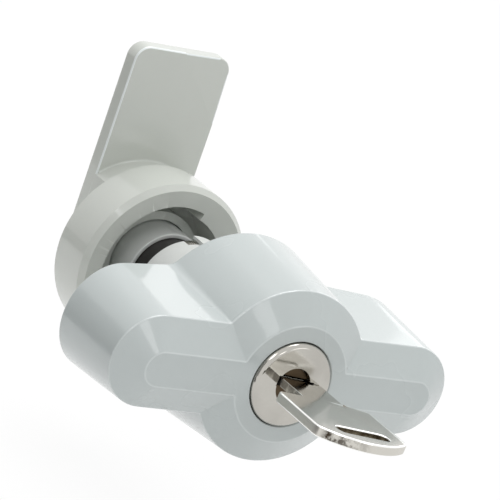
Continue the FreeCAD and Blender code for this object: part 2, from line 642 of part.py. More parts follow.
stem_form = turned([
    ("stem_bore", flange_front), ("stem_flange_radius", flange_front),
    ("stem_flange_radius", flange_back), ("stem_radius", flange_back),
    ("stem_radius", "seal_at - seal_groove"),
    ("stem_radius - 2 * seal_cord", "seal_at - seal_groove"),
    ("stem_radius - 2 * seal_cord", "seal_at + seal_groove"),
    ("stem_radius", "seal_at + seal_groove"),
    ("stem_radius", "bush_end + turn_gap"), ("clip_ring_groove", "bush_end + turn_gap"),
    ("clip_ring_groove", "bush_end + turn_gap + clip_ring_thick"),
    ("stem_radius", "bush_end + turn_gap + clip_ring_thick"),
    ("stem_radius", "cup_floor"), ("0", "cup_floor"), ("0", "stem_bore_end"),
    ("stem_bore", "stem_bore_end"),
])
cam_back = "(blade_front + blade_thick)"
square = box("0 - square_side / 2", "cup_floor - past", "0 - square_side / 2", "square_side",
             cam_back + " - cup_floor + past - square_short", "square_side")
thread = cylinder("screw_radius + slide_fit / 2", cam_back + " - screw_long - hole_spare",
                  "screw_long + hole_spare + past")
tongue_slot = box("0 - tongue_half - slide_fit", "tongue_at - slide_fit",
                  "0 - stem_radius - past", "2 * tongue_half + 2 * slide_fit",
                  "tongue_thick + 2 * slide_fit", "2 * (stem_radius + past)")
stem_cuts = [thread, tongue_slot]
screws = []
for across, up in screw_places():
    x, z = screw_x % across, screw_x % up
    stem_cuts.append(cylinder("stem_screw_radius + slide_fit", flange_front + " - past",
                              "stem_flange_thick + 2 * past", x, z))
    stem_cuts.append(cone("stem_screw_radius + slide_fit",
                          "stem_screw_head + 1.5 * slide_fit",
                          flange_back + " - stem_screw_head + stem_screw_radius",
                          "stem_screw_head - stem_screw_radius + slide_fit / 2", x, z))
    screws.append(cut(
        fuse(cylinder("stem_screw_radius", flange_back + " - stem_screw_long",
                      "stem_screw_long - slide_fit", x, z),
             cone("stem_screw_radius", "stem_screw_head",
                  flange_back + " - stem_screw_head + stem_screw_radius - slide_fit / 2",
                  "stem_screw_head - stem_screw_radius", x, z)),
        box(x + " - cross_half", flange_back + " - cross_deep", z + " - cross_wide / 2",
            "2 * cross_half", "cross_deep + past", "cross_wide"),
        box(x + " - cross_wide / 2", flange_back + " - cross_deep", z + " - cross_half",
            "cross_wide", "cross_deep + past", "2 * cross_half")))
node("stem", cut(fuse(stem_form, square), *stem_cuts))
node("stem_screws", group(*screws))

node("stem_seal", torus("stem_radius + stem_fit / 2 - seal_cord", "seal_cord", "seal_at"))

ring_gate = box("0 - clip_ring_gate / 2", "bush_end", "0 - clip_ring_radius - past",
                "clip_ring_gate", "turn_gap + clip_ring_thick + past", "clip_ring_radius")
node("retaining_ring", cut(ring("clip_ring_radius", "clip_ring_groove + slide_fit / 2",
                                "bush_end + turn_gap + slide_fit / 2",
                                "clip_ring_thick - slide_fit"), ring_gate))

# What stays fixed in the door: bush, gasket, washer, nut and the catch.

def radial(radius, start, length, degrees, distance, far=None):
    """A cylinder or cone that points away from the axis, at an angle clockwise from the top."""
    piece = doc.addObject("Part::Cone" if far else "Part::Cylinder", "Radial")
    across, up = math.sin(math.radians(degrees)), math.cos(math.radians(degrees))
    piece.Placement.Rotation = FreeCAD.Rotation(FreeCAD.Vector(0, 0, 1),
                                                FreeCAD.Vector(across, 0, up))
    if far:
        bind(piece, Radius1=radius, Radius2=far, Height=length)
    else:
        bind(piece, Radius=radius, Height=length)
    return place(piece, "(%s) * %.6f" % (start, across), distance, "(%s) * %.6f" % (start, up))


flange_seat = "(0 - gasket_thick)"
bush = turned([
    ("stem_radius + stem_fit", flange_seat + " - bush_flange_thick"),
    ("bush_flange_radius - edge_break", flange_seat + " - bush_flange_thick"),
    ("bush_flange_radius", flange_seat + " - bush_flange_thick + edge_break"),
    ("bush_flange_radius", flange_seat), ("bush_radius", flange_seat),
    ("bush_radius", "bush_end - edge_break"), ("bush_radius - edge_break", "bush_end"),
    ("stem_radius + stem_fit", "bush_end"),
])
catch_screw_turn = 45                # from the top to the catch screw, clockwise
screw_tip = "(bush_radius - catch_screw_bite)"
screw_floor = "(bush_radius - catch_screw_bite - slide_fit)"
head_floor = "(catch_outer - catch_screw_head + catch_screw_radius)"
nose_room = box("0 - nose_side - nose_half - catch_gap", "tongue_at - turn_gap",
                "nose_side - nose_half - catch_gap", "2 * bush_radius", "bush_end", "bush_radius")
node("guide_bush", cut(bush, nose_room,
                       radial("catch_screw_radius", screw_floor, "2 * catch_screw_bite",
                              catch_screw_turn, "catch_screw_at")))

node("panel_gasket", ring("bush_flange_radius", "gasket_inner", flange_seat, "gasket_thick"))

teeth = []
for i in range(int(size("washer_teeth"))):
    across, up = polar(1, 360.0 * i / size("washer_teeth"))
    teeth.append(cylinder("washer_thick", "door_thick - past", "washer_thick + 2 * past",
                          "washer_radius * %.6f" % across, "washer_radius * %.6f" % up))
node("lock_washer", cut(ring("washer_radius", "bush_radius + slide_fit", "door_thick",
                             "washer_thick"), *teeth))

nut_front = "(door_thick + washer_thick)"
nut_form = doc.addObject("Part::Prism", "Hexagon")
nut_form.Placement.Rotation = along_axis
bind(nut_form, Circumradius="nut_corner", Height="nut_thick")
nut_form.Polygon = 6
place(nut_form, "0", nut_front, "0")
nut_round = turned([
    ("0", nut_front), ("nut_corner - 3 * edge_break", nut_front),
    ("nut_corner", nut_front + " + edge_break"),
    ("nut_corner", nut_front + " + nut_thick - edge_break"),
    ("nut_corner - 3 * edge_break", nut_front + " + nut_thick"), ("0", nut_front + " + nut_thick"),
])
node("bush_nut", cut(common(nut_form, nut_round),
                     cylinder("bush_radius + slide_fit / 2", nut_front + " - past",
                              "nut_thick + 2 * past")))

catch_form = turned([
    ("bush_radius + slide_fit / 2", "catch_front"), ("catch_outer", "catch_front"),
    ("catch_outer", "catch_back"), ("nose_rest + catch_gap", "catch_back"),
    ("nose_rest + catch_gap", "tongue_at - turn_gap"),
    ("bush_radius + slide_fit / 2", "tongue_at - turn_gap"),
])
between_rests = box("0 - nose_side + nose_half + catch_gap", "catch_front - past",
                    "nose_side + nose_half + catch_gap", "2 * catch_outer", "catch_back",
                    "catch_outer")
node("catch_block", cut(
    common(catch_form, between_rests),
    radial("catch_screw_radius", "0", "catch_outer + past", catch_screw_turn, "catch_screw_at"),
    radial("catch_screw_radius", head_floor, "catch_screw_head - catch_screw_radius",
           catch_screw_turn, "catch_screw_at", "catch_screw_head")))
node("catch_screw", cut(
    fuse(radial("catch_screw_radius", screw_tip, "catch_outer - slide_fit - " + screw_tip,
                catch_screw_turn, "catch_screw_at"),
         radial("catch_screw_radius", head_floor, "catch_screw_head - catch_screw_radius",
                catch_screw_turn, "catch_screw_at", "catch_screw_head")),
    radial("catch_socket", "catch_outer - catch_socket_deep", "catch_socket_deep + past",
           catch_screw_turn, "catch_screw_at")))

# The cam: a cup round the stem with a blade behind it, held by a screw and two washers.

node("spacer_sleeve", ring("sleeve_radius", "stem_radius + slide_fit / 2", "sleeve_front",
                           "cup_floor - sleeve_front"))

cup = turned([
    ("cup_stop", "cup_front"), ("cup_radius - cup_bevel", "cup_front"),
    ("cup_radius", "cup_front + cup_bevel"), ("cup_radius", "cup_back - cup_back_bevel"),
    ("cup_radius - cup_back_bevel", "cup_back"), ("0", "cup_back"),
    ("0", "cup_floor"), ("cup_boss_inner", "cup_floor"),
    ("cup_boss_inner", "cup_floor - cup_boss_high"),
    ("cup_boss_outer", "cup_floor - cup_boss_high"), ("cup_boss_outer", "cup_floor"),
    ("cup_stop", "cup_floor"),
])
free_bore = turned_about_axis(
    cut(cylinder("cup_bore", "cup_front - past", "cup_floor - cup_front + past",
                 angle="cup_free_angle"),
        cylinder("cup_stop - past", "cup_front - 2 * past", "cup_floor - cup_front + 3 * past")),
    "cup_stop_angle - cup_free_angle + 270")
block_front = "(cup_back - cup_back_bevel)"
block_long = "(%s - %s)" % (cam_back, block_front)
block = common(cylinder("cup_radius", block_front, block_long),
               fuse(cylinder("blade_half", block_front, block_long),
                    box("0 - blade_half", block_front, "0", "2 * blade_half", block_long,
                        "cup_radius")))
blade_slab = box("0 - blade_half", "blade_front", "0", "2 * blade_half", "blade_thick", "blade_top")
doc.recompute()
slab_ends = [i + 1 for i, edge in enumerate(blade_slab.Shape.Edges)
             if edge.BoundBox.ZMin > hair and edge.BoundBox.XLength < hair]
rounded_end = doc.addObject("Part::Fillet", "RoundedEnd")
rounded_end.Base = blade_slab
rounded_end.Edges = [(i, size("blade_corner"), size("blade_corner")) for i in slab_ends]
doc.recompute()
rim = [i + 1 for i, edge in enumerate(rounded_end.Shape.Edges)
       if edge.BoundBox.ZMax > hair and edge.BoundBox.YLength < hair]
slab = doc.addObject("Part::Fillet", "Slab")
slab.Base = rounded_end
slab.Edges = [(i, size("blade_edge"), size("blade_edge")) for i in rim]

# The lead-in: the front of the blade slopes back towards one corner of its end.
above = box("0 - blade_top", "0 - blade_thick", "0", "2 * blade_top", "blade_thick", "blade_top")
sloped = doc.addObject("Part::Compound", "Sloped")
sloped.Links = [above]
sloped.Placement.Rotation = FreeCAD.Rotation(FreeCAD.Vector(1, 0, 0), -1)
sloped.setExpression(".Placement.Rotation.Angle", full("0 - ramp_slope"))
place(sloped, "0", "blade_front", "ramp_start")
lead_in = turned_about_axis(sloped, "ramp_turn")

# The hollow corner between the cup's side and the blade.
root = "min(blade_root; blade_front - cup_back)"
root_ring = cut(ring("cup_radius + " + root, "cup_radius - past", "blade_front - " + root,
                     root + " + blade_edge"),
                torus("cup_radius + " + root, root, "blade_front - " + root))
root_piece = common(root_ring, box("blade_edge - blade_half", "cup_back", "0",
                                   "2 * (blade_half - blade_edge)", "blade_front", "blade_top"))
square_hole = box("0 - square_side / 2 - square_fit", "cup_floor - past",
                  "0 - square_side / 2 - square_fit", "square_side + 2 * square_fit",
                  cam_back + " - cup_floor + 2 * past", "square_side + 2 * square_fit")
node("cam", cut(fuse(cup, block, cut(slab, lead_in), root_piece), free_bore, square_hole))

washer_back = "(%s + cam_washer_thick)" % cam_back
split_back = "(%s + split_thick)" % washer_back
node("cam_washer", ring("cam_washer_radius", "screw_radius + hole_gap", cam_back,
                        "cam_washer_thick"))
gate = box("0 - split_gate / 2", washer_back + " - past", "0", "split_gate",
           "split_thick + 2 * past", "split_radius + past")
node("spring_washer", cut(ring("split_radius", "screw_radius + hole_gap", washer_back,
                               "split_thick"), gate))
socket = doc.addObject("Part::Prism", "Hexagon")
socket.Placement.Rotation = along_axis
bind(socket, Circumradius="screw_socket", Height="screw_head_thick")
socket.Polygon = 6
place(socket, "0", split_back + " + screw_head_thick / 2", "0")
head = turned([
    ("0", split_back), ("screw_head_radius", split_back),
    ("screw_head_radius", split_back + " + screw_head_thick - edge_break"),
    ("screw_head_radius - edge_break", split_back + " + screw_head_thick"),
    ("0", split_back + " + screw_head_thick"),
])
node("cam_screw", cut(fuse(head, cylinder("screw_radius", split_back + " - screw_long",
                                          "screw_long + past")), socket))

# Check every object and every piece, then write the pieces.

doc.recompute()
faults = [thing.Name for thing in doc.Objects if "Invalid" in thing.State or "Error" in thing.State]
faults += [piece.Label for piece in nodes if piece.Shape.isNull() or not piece.Shape.isValid()]
if faults:
    raise RuntimeError("not valid: " + ", ".join(faults))
os.makedirs("parts", exist_ok=True)
for piece in nodes:
    bounds = piece.Shape.BoundBox
    print("%-16s %2d solids  %9.2f mm3  x %7.2f %7.2f  y %7.2f %7.2f  z %7.2f %7.2f" % (
        piece.Label, len(piece.Shape.Solids), piece.Shape.Volume, bounds.XMin, bounds.XMax,
        bounds.YMin, bounds.YMax, bounds.ZMin, bounds.ZMax))
    piece.Shape.exportStep("parts/%s.step" % piece.Label)
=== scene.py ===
import math
import bmesh
import bpy
import numpy as np
from mathutils import Matrix, Vector


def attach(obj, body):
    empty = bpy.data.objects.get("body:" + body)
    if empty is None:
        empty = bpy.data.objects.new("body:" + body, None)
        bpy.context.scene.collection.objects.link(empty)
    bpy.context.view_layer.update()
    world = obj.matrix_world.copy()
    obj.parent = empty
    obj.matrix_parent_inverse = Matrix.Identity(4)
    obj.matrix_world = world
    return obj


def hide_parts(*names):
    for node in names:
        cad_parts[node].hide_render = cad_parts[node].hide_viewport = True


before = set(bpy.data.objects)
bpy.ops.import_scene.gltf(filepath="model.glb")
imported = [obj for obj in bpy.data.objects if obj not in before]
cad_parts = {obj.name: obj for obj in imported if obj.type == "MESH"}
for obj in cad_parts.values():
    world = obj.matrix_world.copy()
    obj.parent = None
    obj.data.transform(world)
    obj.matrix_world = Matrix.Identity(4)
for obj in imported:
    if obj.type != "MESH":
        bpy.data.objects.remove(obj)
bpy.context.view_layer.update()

scene = bpy.context.scene
mm = 0.001


# Mesh helpers. Sizes are millimetres in the part's frame.

def makeMesh(name, points, faces):
    mesh = bpy.data.meshes.new(name)
    mesh.from_pydata([tuple(float(c) * mm for c in p) for p in points], [], faces)
    thing = bpy.data.objects.new(name, mesh)
    scene.collection.objects.link(thing)
    grid = bmesh.new()
    grid.from_mesh(mesh)
    bmesh.ops.remove_doubles(grid, verts=grid.verts, dist=0.0005 * mm)
    bmesh.ops.recalc_face_normals(grid, faces=grid.faces)
    grid.to_mesh(mesh)
    grid.free()
    return thing


def settle(thing):                     # the modifiers become plain mesh
    graph = bpy.context.evaluated_depsgraph_get()
    done = bpy.data.meshes.new_from_object(thing.evaluated_get(graph))
    thing.modifiers.clear()
    thing.data = done
    return thing


def combine(thing, tools, operation):
    for tool in tools:
        step = thing.modifiers.new("step", "BOOLEAN")
        step.operation, step.solver, step.object = operation, "EXACT", tool
        settle(thing)
        bpy.data.objects.remove(tool)
    return thing


def joined(things):                    # several separate meshes as one
    first = things[0]
    grid = bmesh.new()
    for thing in things:
        grid.from_mesh(thing.data)
    grid.to_mesh(first.data)
    grid.free()
    for thing in things[1:]:
        bpy.data.objects.remove(thing)
    return first


def carve(thing, *tools):
    return combine(thing, tools, "DIFFERENCE")


def unite(thing, *tools):
    return combine(thing, tools, "UNION")


def overlap(thing, tool):
    return combine(thing, [tool], "INTERSECT")


def rounded(corners, closed=False, steps=5):
    out = []                           # corners are (a, b) or (a, b, radius)
    for i, corner in enumerate(corners):
        here = Vector(corner[:2])
        if len(corner) < 3 or (not closed and i in (0, len(corners) - 1)):
            out.append(tuple(here))
            continue
        back = Vector(corners[i - 1][:2]) - here
        on = Vector(corners[(i + 1) % len(corners)][:2]) - here
        p, q = [here + way.normalized() * min(corner[2], 0.49 * way.length)      # short of half a side
                for way in (back, on)]
        for k in range(steps + 1):
            t = k / steps
            out.append(tuple(p * (1 - t) ** 2 + here * 2 * t * (1 - t) + q * t * t))
    return out


def lathe(name, corners, steps=144, closed=False):      # (radius, y) corners, turned about the axis
    points, rings = [], []
    for radius, y in rounded(corners, closed):
        count = 1 if radius < 1e-6 else steps
        rings.append([len(points) + k for k in range(count)])
        points += [(radius * math.sin(math.tau * k / steps), y, radius * math.cos(math.tau * k / steps))
                   for k in range(count)]
    faces = []
    for a, b in list(zip(rings, rings[1:])) + ([(rings[-1], rings[0])] if closed else []):
        for k in range(steps):
            n = (k + 1) % steps
            loop = [a[k % len(a)], b[k % len(b)], b[n % len(b)], a[n % len(a)]]
            face = [v for i, v in enumerate(loop) if v not in loop[:i]]
            if len(face) > 2:
                faces.append(face)
    return makeMesh(name, points, faces)


def strips(ringCount, count):          # the faces between rings of as many points each
    faces = []
    for r in range(ringCount - 1):
        for k in range(count):
            n = (k + 1) % count
            faces.append([r * count + k, r * count + n, (r + 1) * count + n, (r + 1) * count + k])
    return faces


def loft(name, rings):                 # closed rings of as many points each, with flat ends
    count = len(rings[0])
    points = [p for ring in rings for p in ring]
    caps = [list(range(count)), list(range(len(points) - count, len(points)))]
    return makeMesh(name, points, caps + strips(len(rings), count))


def slab(name, outline, low, high, axis="Z"):            # an outline made thick along one axis
    if axis == "Z":
        return loft(name, [[(a, b, level) for a, b in outline] for level in (low, high)])
    return loft(name, [[(a, level, b) for a, b in outline] for level in (low, high)])


def block(low, high):
    return slab("tool", [(low[0], low[1]), (high[0], low[1]), (high[0], high[1]), (low[0], high[1])],
                low[2], high[2])


def arc(x, y, radius, start, end, steps):
    return [(x + radius * math.cos(math.radians(start + (end - start) * k / steps)),
             y + radius * math.sin(math.radians(start + (end - start) * k / steps)))
            for k in range(steps + 1)]


def circle(radius, steps=32):          # round the axis, and a hexagon with six steps
    return arc(0, 0, radius, 0, 360, steps)[:-1]


def roundEdge(radius, steps=5):        # how far in and how deep each step round an edge lies
    return [(radius * (1 - math.sin(a)), radius * (1 - math.cos(a)))
            for a in np.linspace(0, math.pi / 2, steps + 1)]


def shrunk(outline, less):             # every side of a closed outline moved inwards
    out = []
    for i, here in enumerate(outline):
        before = (Vector(here) - Vector(outline[i - 1])).normalized()
        after = (Vector(outline[(i + 1) % len(outline)]) - Vector(here)).normalized()
        inward = [Vector((-side.y, side.x)) for side in (before, after)]
        lean = (inward[0] + inward[1]).normalized()
        out.append(tuple(Vector(here) + lean * less / max(0.5, lean.dot(inward[0]))))
    return out


def polish(thing, width=0, angle=33, crease=None):       # broken edges and clean shading
    if width:
        edge = thing.modifiers.new("edges", "BEVEL")
        edge.width, edge.segments = width * mm, 2
        edge.limit_method, edge.angle_limit = "ANGLE", math.radians(angle)
        settle(thing)
    grid = bmesh.new()
    grid.from_mesh(thing.data)
    for face in grid.faces:
        face.smooth = True
    for seam in grid.edges:
        sharp = len(seam.link_faces) == 2 and seam.calc_face_angle(0) > math.radians(angle)
        creased = crease and all(abs(crease(vertex.co / mm)) < 0.01 for vertex in seam.verts)
        seam.smooth = not (sharp or creased)
    grid.to_mesh(thing.data)
    grid.free()
    fair = thing.modifiers.new("normals", "WEIGHTED_NORMAL")
    fair.keep_sharp = True
    return thing


def soften(thing, widest, rule, angle=33):               # rule gives each sharp edge its own width
    grid = bmesh.new()
    grid.from_mesh(thing.data)
    share = grid.edges.layers.float.new("bevel_weight_edge")
    for edge in grid.edges:
        if len(edge.link_faces) == 2 and edge.calc_face_angle(0) > math.radians(angle):
            middle = (edge.verts[0].co + edge.verts[1].co) / (2 * mm)
            edge[share] = rule(middle) / widest
    grid.to_mesh(thing.data)
    grid.free()
    edges = thing.modifiers.new("edges", "BEVEL")
    edges.width, edges.segments, edges.limit_method = widest * mm, 3, "WEIGHT"
    settle(thing)


def mark(thing, **rules):              # a share from 0 to 1 on each face, for the materials
    for name, rule in rules.items():
        share = thing.data.attributes.new(name, "FLOAT", "FACE")
        for face, cell in zip(thing.data.polygons, share.data):
            cell.value = float(rule(face.center / mm, face.normal))


def spin(thing, degrees, lift=0):      # clockwise from the front, about the axis
    turn = Matrix.Rotation(math.radians(degrees), 4, "Y")
    thing.data.transform(turn @ Matrix.Translation((0, 0, lift * mm)))
    return thing


def dress(thing, body, finish, node):              # the piece stands in for a node of the CAD
    thing.data.materials.clear()
    thing.data.materials.append(finish)
    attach(thing, body)
    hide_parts(node)


# Shader helpers

class Wire:                            # one socket, with arithmetic
    def __init__(self, tree, socket):
        self.tree, self.socket = tree, socket

    def maths(self, operation, first, second):
        made = self.tree.nodes.new("ShaderNodeMath")
        made.operation = operation
        for place, value in zip(made.inputs, (first, second)):
            feed(self.tree, place, value)
        return Wire(self.tree, made.outputs[0])

    def __add__(self, other):
        return self.maths("ADD", self, other)

    def __radd__(self, other):
        return self.maths("ADD", other, self)

    def __sub__(self, other):
        return self.maths("SUBTRACT", self, other)

    def __rsub__(self, other):
        return self.maths("SUBTRACT", other, self)

    def __mul__(self, other):
        return self.maths("MULTIPLY", self, other)

    def __rmul__(self, other):
        return self.maths("MULTIPLY", other, self)

    def __truediv__(self, other):
        return self.maths("DIVIDE", self, other)

    def __rtruediv__(self, other):
        return self.maths("DIVIDE", other, self)

    def __or__(self, other):           # the larger of two masks
        return self.maths("MAXIMUM", self, other)

    def __ror__(self, other):
        return self.maths("MAXIMUM", other, self)

    def __lt__(self, other):
        return self.maths("LESS_THAN", self, other)

    def __gt__(self, other):
        return self.maths("GREATER_THAN", self, other)


def feed(tree, place, value):
    if isinstance(value, Wire):
        tree.links.new(value.socket, place)
    else:
        place.default_value = value


class Finish:                          # a material and its shader
    def __init__(self, name, **fixed):
        self.material = bpy.data.materials.new(name)
        self.material.use_nodes = True
        self.tree = self.material.node_tree
        self.shader = self.tree.nodes["Principled BSDF"]
        self.set({key.replace("_", " "): value for key, value in fixed.items()})

    def set(self, values):
        for key, value in values.items():
            feed(self.tree, self.shader.inputs[key], value)

    def node(self, kind, settings=None, values=None, output=0):
        made = self.tree.nodes.new("ShaderNode" + kind)
        for key, value in (settings or {}).items():
            if key == "stops":
                while len(made.color_ramp.elements) < len(value):
                    made.color_ramp.elements.new(0.5)
                for stop, (at, shade) in zip(made.color_ramp.elements, value):
                    stop.position, stop.color = at, (shade, shade, shade, 1)
            else:
                setattr(made, key, value)
        for key, value in (values or {}).items():
            feed(self.tree, made.inputs[key], value)
        return Wire(self.tree, made.outputs[output])

    def marked(self, name):
        return self.node("Attribute", {"attribute_name": name}, output=2)

    def place(self, scale=(1, 1, 1)):  # object coordinates, stretched
        at = self.node("TexCoord", output=3)
        return self.node("Mapping", values={"Vector": at, "Scale": scale})

    def noise(self, scale, detail=3, rough=0.5, stretch=(1, 1, 1)):
        return self.node("TexNoise", values={"Vector": self.place(stretch), "Scale": scale,
                                             "Detail": detail, "Roughness": rough})

    def ramp(self, factor, *stops):
        return self.node("ValToRGB", {"stops": stops}, {"Fac": factor})

    def blend(self, factor, first, second):
        return self.node("Mix", {"data_type": "RGBA"}, {0: factor, 6: first, 7: second}, output=2)

    def bump(self, height, strength, distance):
        return self.node("Bump", values={"Height": height, "Strength": strength,
                                         "Distance": distance})


def mouldedPlastic(name, colour, shade, rough, grain, shine=0.15, glint=0.8, paintedGlint=0.35):
    it = Finish(name, Specular_IOR_Level=0.5, Coat_Roughness=0.06)
    cloud = it.noise(35, 3)            # scales count to the metre
    speck = it.noise(900, 2)
    it.set({
        # faces marked edge are painted lighter towards the glint colour: a painted highlight along the
        # moulded edges
        "Base Color": it.blend(it.marked("edge") * paintedGlint,
                               it.blend(cloud * 0.6 + speck * 0.25, (*colour, 1), (*shade, 1)),
                               (0.95 * glint, glint, glint, 1)),
        "Roughness": rough + 0.10 * cloud,
        "Coat Weight": shine,
        "Normal": it.bump(it.noise(420, 2) + 0.25 * speck, grain, 0.00006),
    })
    return it.material


def platedMetal(name, colour, dull, rough, stretch, grain=0.10):
    it = Finish(name, Metallic=1.0)
    brushed = it.noise(300, 4, 0.6, stretch)
    stain = it.noise(90, 4, 0.6)
    it.set({
        "Base Color": it.blend(it.ramp(stain, (0.35, 0), (0.75, 1)), (*colour, 1), (*dull, 1)),
        "Roughness": rough + 0.06 * brushed + 0.10 * it.ramp(stain, (0.45, 0), (0.8, 1)),
        "Normal": it.bump(brushed + 0.4 * stain, grain, 0.00004),
    })
    return it.material


keyLook = {                            # places on the key, in metres: the corners and rim with a painted highlight, and the darker band on the side wall
    "cornerX": 0.0124, "rimY": -0.0400, "rimSlope": 0.305, "bowY": -0.0409,
    "sideDarkX": -0.0105, "sideDarkLength": 0.016,
}


def keyMetal():
    it = Finish("nickelKey", Metallic=1.0)
    brushed = it.noise(300, 4, 0.6, (1, 0.08, 1))
    stain = it.noise(90, 4, 0.6)
    grit = it.noise(700, 3, 0.7)
    across = it.node("SeparateXYZ", values={"Vector": it.place()})
    along = it.node("SeparateXYZ", values={"Vector": it.place()}, output=1)
    # a painted highlight on the bow's far corner and rim, on the bow only
    paintedHighlight = (across > keyLook["cornerX"]) | (along + keyLook["rimSlope"] * across > keyLook["rimY"])
    paintedHighlight = paintedHighlight * (along < keyLook["bowY"])
    # the side walls darker in a patchy band that starts near the bow's left end and fades towards the right
    sideDark = it.ramp((across - keyLook["sideDarkX"]) / keyLook["sideDarkLength"],
                    (0.0, 0), (0.08, 1), (0.35, 0.75), (0.75, 0))
    sideDark = sideDark * it.ramp(grit, (0.38, 0), (0.58, 1))
    sheared, slot = it.marked("sheared"), it.marked("slot")
    plain = it.blend(it.ramp(stain, (0.35, 0), (0.75, 1)), (0.56, 0.55, 0.51, 1), (0.46, 0.445, 0.405, 1))
    edge = it.blend(sideDark, (0.64, 0.62, 0.57, 1), (0.045, 0.033, 0.02, 1))
    wall = it.blend(it.ramp(grit, (0.4, 0), (0.7, 1)), (0.09, 0.065, 0.035, 1), (0.34, 0.30, 0.22, 1))
    shown = it.blend(slot, it.blend(sheared, plain, edge), wall)
    it.set({
        # faces marked edge and the far corner and rim are painted nearly white: a painted highlight
        "Base Color": it.blend(it.marked("edge") | paintedHighlight * (1 - sheared), shown, (0.95, 0.95, 0.93, 1)),
        "Roughness": 0.08 + 0.06 * brushed + 0.10 * it.ramp(stain, (0.45, 0), (0.8, 1)) + 0.22 * sheared,
        "Normal": it.bump(brushed + 0.4 * stain + 1.5 * sheared * grit, 0.06, 0.00004),
    })
    return it.material


finishes = {                           # name, colour, second colour, roughness, grain or stretch
    "knob": mouldedPlastic("knobWhite", (0.54, 0.585, 0.58), (0.50, 0.55, 0.545), 0.22, 0.03, shine=0.7),
    # the cam's edges get a strong painted highlight
    "cam": mouldedPlastic("camWhite", (0.63, 0.655, 0.61), (0.59, 0.615, 0.57), 0.24, 0.03,
                          shine=0.7, glint=0.95, paintedGlint=0.9),
    "bush": mouldedPlastic("bushWhite", (0.70, 0.72, 0.70), (0.62, 0.64, 0.62), 0.32, 0.08),
    "stem": mouldedPlastic("stemBlack", (0.012, 0.012, 0.011), (0.03, 0.028, 0.026), 0.42, 0.2),
    "sleeve": mouldedPlastic("sleeveGrey", (0.66, 0.68, 0.66), (0.58, 0.60, 0.58), 0.30, 0.10),
    "rubber": mouldedPlastic("sealRubber", (0.018, 0.018, 0.018), (0.035, 0.034, 0.032), 0.62, 0.3),
    "nickel": platedMetal("nickelFace", (0.52, 0.505, 0.465), (0.45, 0.435, 0.40), 0.05, (1, 1, 1), 0.04),
    "keyNickel": keyMetal(),
    "zinc": platedMetal("zincSteel", (0.58, 0.58, 0.56), (0.46, 0.45, 0.42), 0.30, (1, 0.2, 1)),
    "bronze": platedMetal("darkBronze", (0.10, 0.072, 0.045), (0.05, 0.036, 0.024), 0.34, (1, 1, 1)),
    "brass": platedMetal("plainBrass", (0.52, 0.38, 0.18), (0.40, 0.28, 0.13), 0.30, (1, 1, 1)),
}
print("finishes ready")


# The knob: rings from the flat front, over the shoulder, to the swept back

knob = {
    "front": (-30.5, 13.85, 4.0, 33.8, 0.4),      # y, boss, half height, tip centre, valley
    "shoulder": (-26.3, 20.5, 10.8, 33.6, 0.8),
    "back": (-0.5, 22.8, 12.9, 32.5, 3.5),
    "sweepStart": 20.0, "slope": 4.4 / 25.4,
    "frontRound": 0.28, "shoulderRound": 0.3, "backRound": 0.35, "slant": 7.9, "flank": 25.8,
    "slantFrom": 0.05, "slantRows": (0.3, 0.5, 0.7), "flankRows": (0.12, 0.25, 0.4, 0.55, 0.7, 0.85),
    "cutFrom": -32, "cutTo": 0.6, "bore": 10.1, "mouthFlare": 1.7, "mouthEnd": -30.25, "mouthRound": 0.25,
    "housing": 10.6, "housingSeat": -27.4, "flangeSeat": -7.3, "flange": 17.1,
    "recess": 20.1, "recessSeat": -4.3, "rimFrom": -1.0, "rimFlare": 1.4,
    "pocketIn": 23.4, "pocketCentre": 32.6, "pocketHalf": 9.1, "pocketCorner": 1.5,
    "pocketWall": ((-23.3, 1.5), (-22.85, 0.65), (-21.8, 0.3), (-8, 0.1), (2, 0)),     # y, narrower by
    "rib": 1.6, "ribFront": -30, "ribEnd": -7.9, "ribHigh": 14, "ribSpan": (20, 46),
    "glintFront": 0.17, "glintFrom": 12, "glintShoulder": (-0.13, 0.3),
}
stretches = (18, 12, 10, 22)           # steps on the tip, the wing's side, the valley and the boss
kind = np.append(np.repeat([0, 1, 2, 3], stretches), 3)      # the stretch that each point of a quarter is on
share = np.append(np.concatenate([np.arange(n) / n for n in stretches]), 1.0)      # and how far along it


def quarterOutline(values):            # values: y, boss, half, centre, valley for each point
    y, boss, half, centre, valley = values
    meet = np.sqrt((boss + valley) ** 2 - (half + valley) ** 2)
    lean = np.arctan2(half + valley, meet)
    tip = share * math.pi / 2
    bow = 1.5 * math.pi - (math.pi / 2 - lean) * share
    turn = lean + (math.pi / 2 - lean) * share
    picks = [kind == 0, kind == 1, kind == 2]
    x = np.select(picks, [centre + half * np.cos(tip), centre + (meet - centre) * share,
                          meet + valley * np.cos(bow)], boss * np.cos(turn))
    z = np.select(picks, [half * np.sin(tip), half + 0 * share,
                          half + valley + valley * np.sin(bow)], boss * np.sin(turn))
    return x, y + 0 * share, z


def mixed(first, second, t):
    return [a * (1 - t) + b * t for a, b in zip(first, second)]


def inset(values, depth):
    y, boss, half, centre, valley = values
    return [y, boss - depth, half - depth, centre, valley + depth]


def constant(name):
    return [v + 0 * share for v in knob[name]]


def sideValues(t):                     # a share of the way from the shoulder to the swept back
    top, end = constant("shoulder"), constant("back")
    part = t + 0 * share
    for _ in range(4):                 # the swept back depends on x, and x on the share
        x = quarterOutline(mixed(top, end, part))[0]
        backY = end[0] - knob["slope"] * np.maximum(0, np.abs(x) - knob["sweepStart"])
        part = t * (backY - top[0]) / (end[0] - top[0])
    return mixed(top, end, part)


def bent(first, corner, last, steps):
    return [mixed(mixed(first, corner, t), mixed(corner, last, t), t)
            for t in np.linspace(0, 1, steps + 1)]


def wholeRing(values):
    x, y, z = quarterOutline(values)
    upper = list(zip(x, y, z)) + [(-a, b, c) for a, b, c in list(zip(x, y, z))[-2::-1]]
    return upper + [(a, b, -c) for a, b, c in upper[-2:0:-1]]


